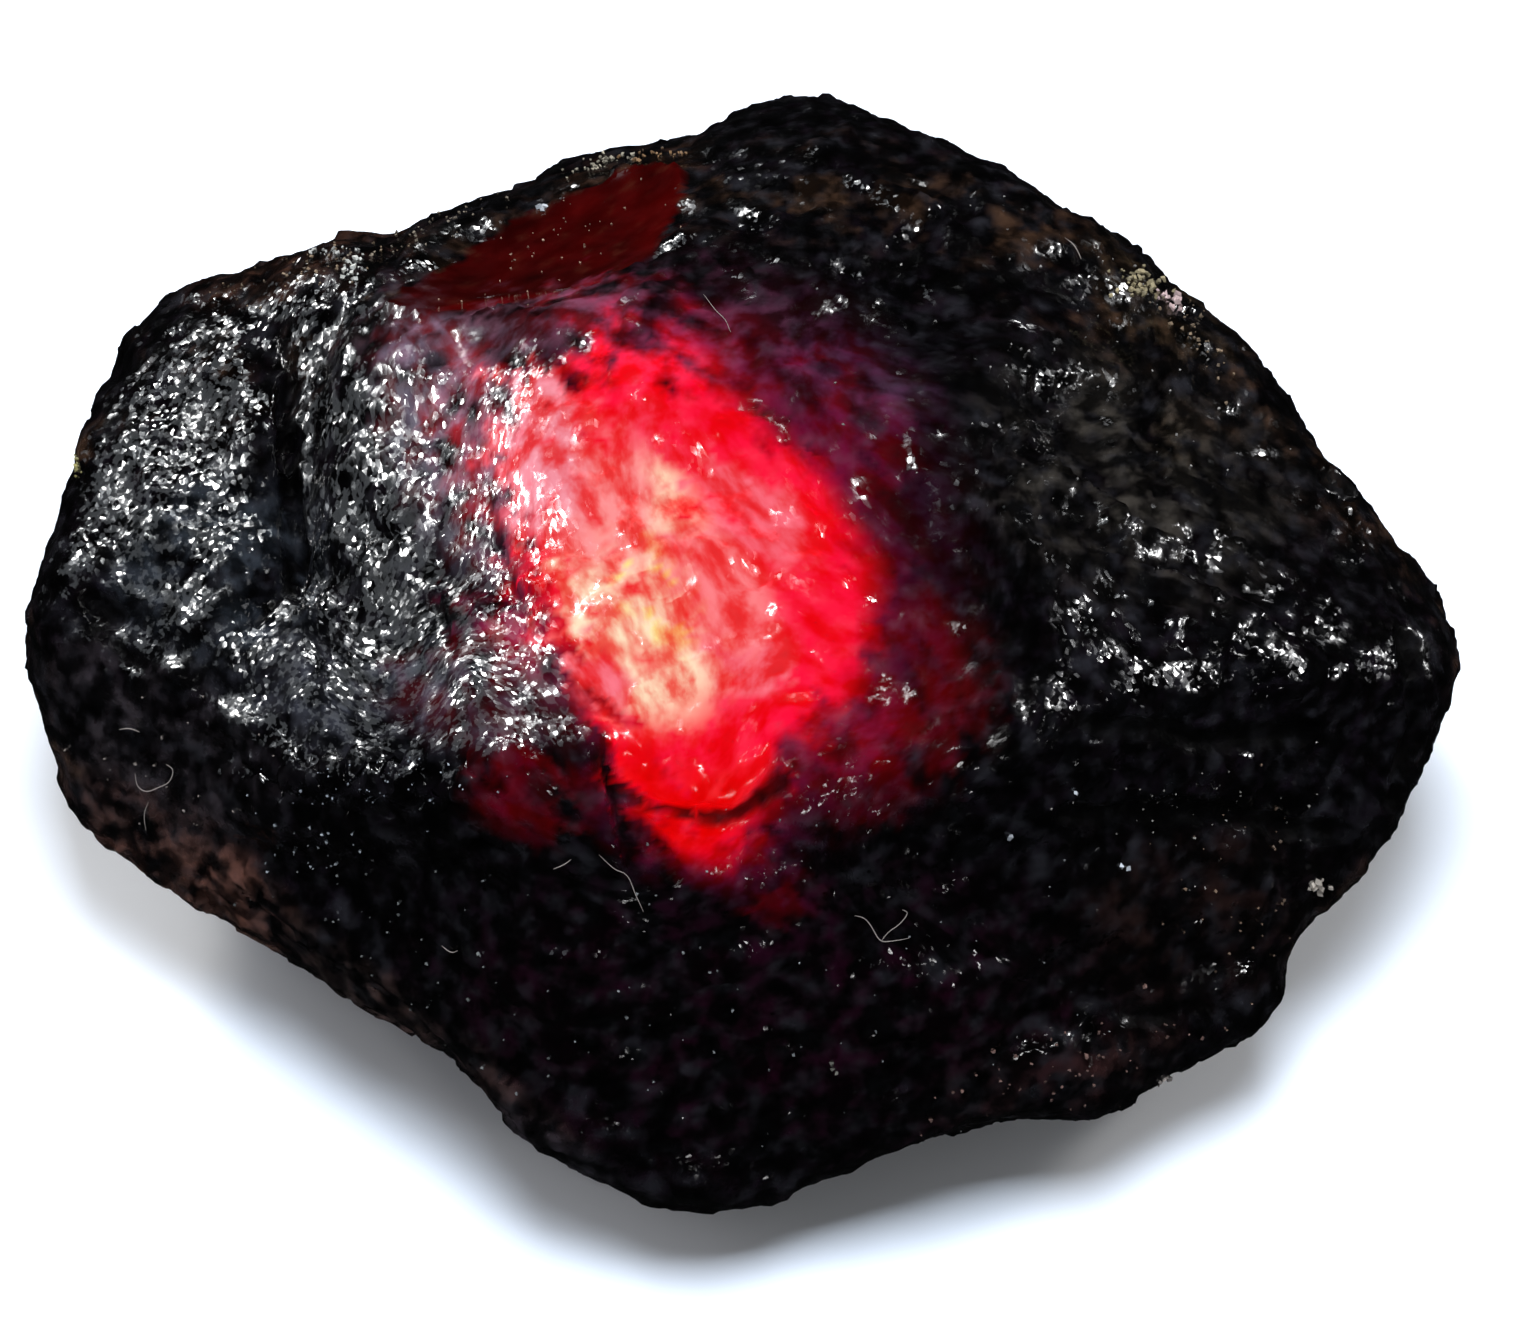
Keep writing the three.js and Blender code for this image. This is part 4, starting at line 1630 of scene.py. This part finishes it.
BEDS = (
    Bed(Patch((594, 158), (50, 9), -14), 44, 0.08 * MM, (0.5, 0.42, 0.3)),
    Bed(Patch((660, 150), (40, 9), 0), 20, 0.08 * MM, (0.3, 0.16, 0.07)),
    Bed(Patch((1140, 283), (26, 17), 20), 60, 0.12 * MM, (0.42, 0.33, 0.18)),
    Bed(Patch((1174, 303), (15, 10), 30), 18, 0.15 * MM, (0.8, 0.55, 0.5)),
    Bed(Patch((1190, 330), (60, 26), 50), 40, 0.08 * MM, (0.3, 0.2, 0.12)),
    Bed(Patch((351, 269), (9, 15), 20), 16, 0.13 * MM, (0.8, 0.76, 0.66)),
    Bed(Patch((333, 249), (34, 5), -4), 20, 0.08 * MM, (0.7, 0.66, 0.58)),
    Bed(Patch((300, 268), (120, 30), -14), 60, 0.07 * MM, (0.3, 0.2, 0.12)),
    Bed(Patch((430, 225), (90, 14), -22), 40, 0.07 * MM, (0.26, 0.2, 0.14)),
    Bed(Patch((541, 206), (4, 4)), 3, 0.14 * MM, (0.85, 0.85, 0.85)),
    Bed(Patch((80, 466), (5, 12), -20), 12, 0.1 * MM, (0.4, 0.34, 0.12)),
    Bed(Patch((560, 240), (130, 40), -28), 40, 0.05 * MM, (0.5, 0.3, 0.2)),
    Bed(Patch((1312, 884), (14, 5), -10), 12, 0.14 * MM, (0.6, 0.5, 0.4)),
    Bed(Patch((1166, 1076), (10, 5), -10), 9, 0.13 * MM, (0.6, 0.5, 0.42)),
    Bed(Patch((1066, 788), (3, 3)), 1, 0.12 * MM, (0.85, 0.85, 0.85)),
    Bed(Patch((1004, 830), (2, 2)), 1, 0.12 * MM, (0.85, 0.85, 0.85)),
    Bed(Patch((1116, 864), (4, 7)), 2, 0.11 * MM, (0.85, 0.85, 0.85)),
    Bed(Patch((800, 955), (3, 3)), 1, 0.12 * MM, (0.7, 0.7, 0.66)),
    Bed(Patch((830, 1060), (4, 8)), 3, 0.12 * MM, (0.45, 0.4, 0.32)),
    Bed(Patch((1200, 796), (130, 34), 3), 40, 0.045 * MM, (0.4, 0.36, 0.3)),
    # Painted highlights: pale grains under the band stand in for glints of tiny chips
    Bed(Patch((390, 782), (130, 30)), 50, 0.05 * MM, (0.5, 0.52, 0.54)),
    Bed(Patch((330, 850), (50, 30)), 24, 0.07 * MM, (0.5, 0.52, 0.52)),
    Bed(Patch((1230, 900), (100, 110)), 40, 0.07 * MM, (0.26, 0.16, 0.1)),
    Bed(Patch((1060, 1060), (190, 50), -14), 60, 0.08 * MM, (0.24, 0.13, 0.1)),
    Bed(Patch((760, 980), (330, 200)), 60, 0.06 * MM, (0.3, 0.3, 0.28)),
    Bed(Patch((420, 960), (190, 100), 30), 50, 0.06 * MM, (0.2, 0.2, 0.18)),
    Bed(Patch((1060, 380), (220, 200), 30), 60, 0.06 * MM, (0.4, 0.36, 0.32)),
    Bed(Patch((160, 760), (110, 80), 30), 22, 0.06 * MM, (0.3, 0.24, 0.2)),
)


@dataclass(frozen=True)
class Fibre:
    """A thread of lint that lies over marks, with its radius in metres."""

    marks: tuple[Mark, ...]
    radius: float = 0.016 * MM


FIBRES = (
    Fibre(((852, 908), (862, 911), (870, 922), (878, 934), (892, 933), (908, 930))),
    Fibre(((878, 934), (886, 924), (896, 917), (904, 906), (898, 902))),
    Fibre(((604, 848), (619, 862), (630, 868), (640, 890), (648, 906)), 0.014 * MM),
    Fibre(((141, 772), (143, 784), (152, 790), (164, 786), (176, 780), (180, 768), (172, 762))),
    Fibre(((126, 728), (137, 727), (148, 731))),
    Fibre(((154, 800), (149, 814), (151, 831)), 0.01 * MM),
    Fibre(((704, 300), (716, 316), (726, 326), (732, 340)), 0.011 * MM),
    Fibre(((1064, 238), (1074, 246), (1082, 262)), 0.014 * MM),
    Fibre(((560, 862), (570, 858), (578, 852))),
    Fibre(((449, 940), (458, 946), (466, 944))),
)


class Surface:
    """The shown side of the stone, as what lies on it finds it."""

    def __init__(self, piece: bpy.types.Object, far: float = 40 * MM) -> None:
        """Sorts the piece's faces for looking them up.

        Args:
            piece: The stone's piece.
            far: How far before the heart a look at the surface starts, in metres.
        """
        points = [tuple(vertex.co) for vertex in piece.data.vertices]
        faces = [tuple(face.vertices) for face in piece.data.polygons]
        self.tree = BVHTree.FromPolygons(points, faces)
        self.far = far

    def behind(self, mark: Mark) -> tuple[Vector, Vector] | None:
        """Gives the place and the normal of the surface behind a mark, or nothing beside the stone."""
        place, normal, _, _ = self.tree.ray_cast(SHOW.place(mark, self.far), -SHOW.out)
        return (place, normal) if place else None


def make_piece(name: str, points: np.ndarray, faces: np.ndarray) -> bpy.types.Object:
    """Makes an object from one mesh.

    Args:
        name: The object's name.
        points: The mesh's points, one to a row.
        faces: The points of each face by number, one face to a row.

    Returns:
        The object.
    """
    mesh = bpy.data.meshes.new(name)
    mesh.from_pydata(points.tolist(), [], faces.tolist())
    mesh.update()
    piece = bpy.data.objects.new(name, mesh)
    bpy.context.scene.collection.objects.link(piece)
    return piece


SIDES = (-0.8, 0.8)
CUBE = tuple((x, y, z) for x in SIDES for y in SIDES for z in SIDES)
CUBE_FACES = ((0, 1, 3, 2), (4, 6, 7, 5), (0, 4, 5, 1), (2, 3, 7, 6), (0, 2, 6, 4), (1, 5, 7, 3))


@dataclass(frozen=True)
class CrustAndGlints:
    """The grains of crust and dust on the stone, and pale grains that stand in for glints, as one piece.
    """

    seed: int = 11
    spread: float = 0.5
    size: Span = (0.5, 1.5)
    jitter: float = 0.28
    squash: Span = (0.6, 1.2)
    shade: Span = (0.17, 0.62)
    sunk: float = 0.25

    def build(self, surface: Surface) -> bpy.types.Object:
        """Strews the grains over their beds.

        Args:
            surface: The surface that they lie on.

        Returns:
            The piece.
        """
        chance = np.random.default_rng(self.seed)
        points: list[np.ndarray] = []
        colours: list[np.ndarray] = []
        for bed in BEDS:
            for _ in range(bed.count):
                found = surface.behind(self._mark(bed.patch, chance))
                if found:
                    points.append(self._grain(*found, bed.width, chance))
                    shade = np.array(bed.colour) * chance.uniform(*self.shade)
                    colours.append(np.tile(shade, (len(CUBE), 1)))
        starts = np.arange(len(points))[:, None, None] * len(CUBE)
        faces = (starts + np.array(CUBE_FACES)).reshape(-1, len(CUBE_FACES[0]))
        piece = make_piece("garnet_crust_and_glints", np.concatenate(points), faces)
        Skin(piece).paint("tint", np.concatenate(colours))
        piece.data.materials.append(CrustAndGlintGrain().make())
        return piece

    def _mark(self, patch: Patch, chance: np.random.Generator) -> Mark:
        """Gives a mark in a patch, more often near its middle.

        Args:
            patch: The patch.
            chance: Where the random numbers come from.

        Returns:
            The mark.
        """
        along, aside = chance.normal(0, self.spread, 2) * np.array(patch.reach)
        turn = math.radians(patch.turn)
        across = along * math.cos(turn) - aside * math.sin(turn)
        down = along * math.sin(turn) + aside * math.cos(turn)
        return patch.middle[0] + across, patch.middle[1] + down

    def _grain(
        self, place: Vector, normal: Vector, width: float, chance: np.random.Generator
    ) -> np.ndarray:
        """Gives the corners of one uneven grain.

        Args:
            place: Where it lies.
            normal: The way that the surface faces there.
            width: How wide the grains of its bed are, in metres.
            chance: Where the random numbers come from.

        Returns:
            The corners, one to a row.
        """
        size = width * chance.uniform(*self.size)
        corners = np.array(CUBE) + chance.normal(0, self.jitter, (len(CUBE), 3))
        corners = corners * chance.uniform(*self.squash, 3) * size / 2
        turn = np.array(Vector(chance.normal(0, 1, 3)).to_track_quat("Z", "Y").to_matrix())
        return corners @ turn.T + np.array(place + normal * size * self.sunk)


@dataclass(frozen=True)
class Lint:
    """The threads of lint on the stone, as one piece."""

    sides: int = 6
    steps: int = 8
    rounds: int = 6
    lift: float = 0.05 * MM
    taper: Span = (0.06, 0.94)

    def build(self, surface: Surface) -> bpy.types.Object:
        """Lays the threads.

        Args:
            surface: The surface that they lie on.

        Returns:
            The piece.
        """
        points: list[np.ndarray] = []
        faces: list[np.ndarray] = []
        start = 0
        for fibre in FIBRES:
            line = self._line(fibre, surface)
            rings = self._rings(line, fibre.radius)
            points.append(rings.reshape(-1, 3))
            faces.append(self._faces(len(line)) + start)
            start += len(points[-1])
        piece = make_piece("garnet_lint", np.concatenate(points), np.concatenate(faces))
        piece.data.materials.append(LintThread().make())
        return piece

    def _line(self, fibre: Fibre, surface: Surface) -> np.ndarray:
        """Gives a thread's middle line, as a smooth curve through its marks.

        Args:
            fibre: The thread.
            surface: The surface that it lies on.

        Returns:
            The line's points, one to a row.
        """
        marks = np.array(fibre.marks)
        marks = np.concatenate([2 * marks[:1] - marks[1:2], marks, 2 * marks[-1:] - marks[-2:-1]])
        line = []
        for before, start, end, after in zip(marks, marks[1:], marks[2:], marks[3:]):
            for share in np.arange(self.steps) / self.steps:
                pull = (end - before) * share + (2 * before - 5 * start + 4 * end - after) * share**2
                bend = (3 * start - before - 3 * end + after) * share**3
                found = surface.behind(tuple(start + (pull + bend) / 2))
                if found:
                    line.append(found[0] + found[1] * self.lift + SHOW.out * self.lift)
        return self._eased_line(np.array(line))

    def _eased_line(self, line: np.ndarray) -> np.ndarray:
        """Takes the jolts out of a line.

        Args:
            line: The line's points, one to a row, which are moved.

        Returns:
            The line.
        """
        for _ in range(self.rounds):
            line[1:-1] = (line[:-2] + 2 * line[1:-1] + line[2:]) / 4
        return line

    def _rings(self, line: np.ndarray, radius: float) -> np.ndarray:
        """Gives a ring of points round each point of a line, smaller towards its ends.

        Args:
            line: The line's points, one to a row.
            radius: The rings' radius, in metres.

        Returns:
            The points, by ring.
        """
        way = np.gradient(line, axis=0)
        way /= np.linalg.norm(way, axis=1, keepdims=True)
        aside = np.cross(way, np.array(SHOW.out))
        aside /= np.linalg.norm(aside, axis=1, keepdims=True)
        rise = np.cross(aside, way)
        angles = np.arange(self.sides) * math.tau / self.sides
        sideways = np.cos(angles)[None, :, None] * aside[:, None]
        upward = np.sin(angles)[None, :, None] * rise[:, None]
        taper = np.sqrt(np.sin(np.linspace(*self.taper, len(line)) * math.pi))
        return line[:, None] + (sideways + upward) * radius * taper[:, None, None]

    def _faces(self, count: int) -> np.ndarray:
        """Gives the faces between rings.

        Args:
            count: How many rings there are.

        Returns:
            The points of each face by number, one face to a row.
        """
        ring = np.arange(self.sides)
        after = (ring + 1) % self.sides
        one = np.stack([ring, after, after + self.sides, ring + self.sides], axis=1)
        starts = np.arange(count - 1)[:, None, None] * self.sides
        return (starts + one).reshape(-1, 4)


@dataclass(frozen=True)
class CrustAndGlintGrain:
    """The finish of the crust and of the pale grains that stand in for glints: dull grains."""

    roughness: float = 0.55

    def make(self) -> bpy.types.Material:
        """Makes the material.

        Returns:
            The material.
        """
        shader = Shader(bpy.data.materials.new("crust_and_glint_grain"))
        tint = shader.painted("tint").outputs["Color"]
        settings = {"Base Color": tint, "Roughness": self.roughness}
        shader.finish(shader.node("ShaderNodeBsdfPrincipled", {}, settings))
        return shader.owner


@dataclass(frozen=True)
class LintThread:
    """The finish of the lint: pale fibre."""

    colour: Colour = (0.2, 0.165, 0.14)
    roughness: float = 0.7

    def make(self) -> bpy.types.Material:
        """Makes the material.

        Returns:
            The material.
        """
        shader = Shader(bpy.data.materials.new("lint_thread"))
        settings = {"Base Color": self.colour, "Roughness": self.roughness}
        shader.finish(shader.node("ShaderNodeBsdfPrincipled", {}, settings))
        return shader.owner


# The table and the lights


@dataclass(frozen=True)
class TableTop:
    """The finish of the table: plain white card."""

    colour: Colour = (0.9, 0.9, 0.91)
    roughness: float = 0.8
    grain_size: float = 1.5 * MM
    grain_detail: float = 3
    grain_strength: float = 0.1
    grain_depth: float = 0.02 * MM

    def make(self) -> bpy.types.Material:
        """Makes the material.

        Returns:
            The material.
        """
        shader = Shader(bpy.data.materials.new("white_card"))
        places = shader.node("ShaderNodeTexCoord").outputs["Object"]
        grain = shader.noise(self.grain_size, self.grain_detail, places)
        bumpy = {"Strength": self.grain_strength, "Distance": self.grain_depth}
        bump = shader.node("ShaderNodeBump", {}, {**bumpy, "Height": grain.outputs[0]})
        settings = {"Base Color": self.colour, "Roughness": self.roughness}
        settings["Normal"] = bump.outputs[0]
        shader.finish(shader.node("ShaderNodeBsdfPrincipled", {}, settings))
        return shader.owner


@dataclass(frozen=True)
class Softbox:
    """A square of soft light that faces the stone's heart.

    It hangs toward a way, distance metres off. One that isn't mirrored shows in no reflection.
    """

    name: str
    toward: Place
    distance: float
    width: float
    radiance: float
    colour: Colour = (1, 1, 1)
    mirrored: bool = True

    def build(self) -> None:
        """Hangs the light."""
        data = bpy.data.lights.new(self.name, "AREA")
        data.shape = "SQUARE"
        data.size = self.width
        data.color = self.colour
        data.energy = self.radiance * math.pi * self.width**2
        light = bpy.data.objects.new(self.name, data)
        bpy.context.scene.collection.objects.link(light)
        way = Vector(self.toward).normalized()
        light.location = Vector(SHOW.heart) + way * self.distance
        light.rotation_mode = "QUATERNION"
        light.rotation_quaternion = way.to_track_quat("Z", "Y")
        light.visible_camera = False
        light.visible_glossy = self.mirrored
        light.visible_transmission = self.mirrored


@dataclass(frozen=True)
class Studio:
    """The table, the lights and the camera."""

    floor_width: float = 6
    lens: float = 300
    sensor: float = 36
    clip: Span = (0.01, 20)
    room_colour: Colour = (0.9, 0.94, 1)
    pale: float = 1
    ambient: float = 0.24
    dim: float = 0.006
    lights: tuple[Softbox, ...] = (
        Softbox("key", KEY_WAY, 0.35, 0.055, 48, (1, 0.99, 0.97)),
        Softbox("pane", KEY_WAY, 0.355, 0.14, 3.2, (0.93, 0.97, 1)),
        Softbox("window", (-0.58, 0.5, 0.64), 0.36, 0.3, 0.62, (0.86, 0.93, 1)),
        Softbox("right", RIGHT_WAY, 0.35, 0.05, 40),
        Softbox("door", RIGHT_WAY, 0.355, 0.16, 1.1, (0.95, 0.96, 1)),
        Softbox("front", FRONT_WAY, 0.36, 0.04, 11),
        Softbox("sky", (0.03, -0.15, 1), 0.22, 0.088, 35, (0.74, 0.85, 1), False),
        Softbox("fill", (-0.8, 0.15, 0.45), 0.6, 0.3, 2.2, (0.93, 0.93, 1), False),
    )

    def build(self) -> None:
        """Sets everything up."""
        self._lay_floor()
        self._set_world()
        for light in self.lights:
            light.build()
        self._aim_camera()
        bpy.context.scene.view_settings.view_transform = "Standard"

    def _lay_floor(self) -> None:
        """Lays the table."""
        bpy.ops.object.select_all(action="DESELECT")
        bpy.ops.mesh.primitive_plane_add(size=self.floor_width)
        floor = bpy.context.view_layer.objects.active
        floor.name = "table"
        floor.data.materials.append(TableTop().make())
        floor.visible_glossy = False
        floor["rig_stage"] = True

    def _set_world(self) -> None:
        """Makes the room pale to look at, dim in reflections and soft on the table."""
        shader = Shader(bpy.data.worlds.new("room"))
        rays = shader.node("ShaderNodeLightPath").outputs
        seen = Field(shader, rays["Is Camera Ray"])
        spread = Field(shader, rays["Is Diffuse Ray"])
        strength = seen * self.pale + spread * self.ambient + self.dim
        settings = {"Color": self.room_colour, "Strength": strength}
        shader.finish(shader.node("ShaderNodeBackground", {}, settings))
        bpy.context.scene.world = shader.owner

    def _aim_camera(self) -> None:
        """Puts the camera where the picture was taken from."""
        data = bpy.data.cameras.new("camera")
        data.lens = self.lens
        data.sensor_width = self.sensor
        camera = bpy.data.objects.new("camera", data)
        bpy.context.scene.collection.objects.link(camera)
        distance = SHOW.width * SHOW.pitch * self.lens / self.sensor
        camera.location = SHOW.place((SHOW.width / 2, SHOW.height / 2), distance)
        camera.rotation_mode = "QUATERNION"
        camera.rotation_quaternion = SHOW.out.to_track_quat("Z", "Y")
        data.clip_start, data.clip_end = self.clip
        bpy.context.scene.camera = camera


def corners() -> list[list[float]]:
    """Gives the shown object's box as plain lists."""
    return [list(corner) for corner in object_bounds()]


def main() -> None:
    """Builds everything in order and reports each piece."""
    logging.basicConfig(level=logging.INFO, format="%(name)s: %(message)s")
    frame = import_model()
    stone = Garnet().build(frame["nodes"][CAD_NODE])
    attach(stone, BODY)
    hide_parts(CAD_NODE)
    surface = Surface(stone)
    loose = [CrustAndGlints().build(surface), Lint().build(surface)]
    for piece in loose:
        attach(piece, BODY)
    for piece in (stone, *loose):
        LOG.info("%s: %d faces", piece.name, len(piece.data.polygons))
    Studio().build()


if __name__ == "__main__":
    main()
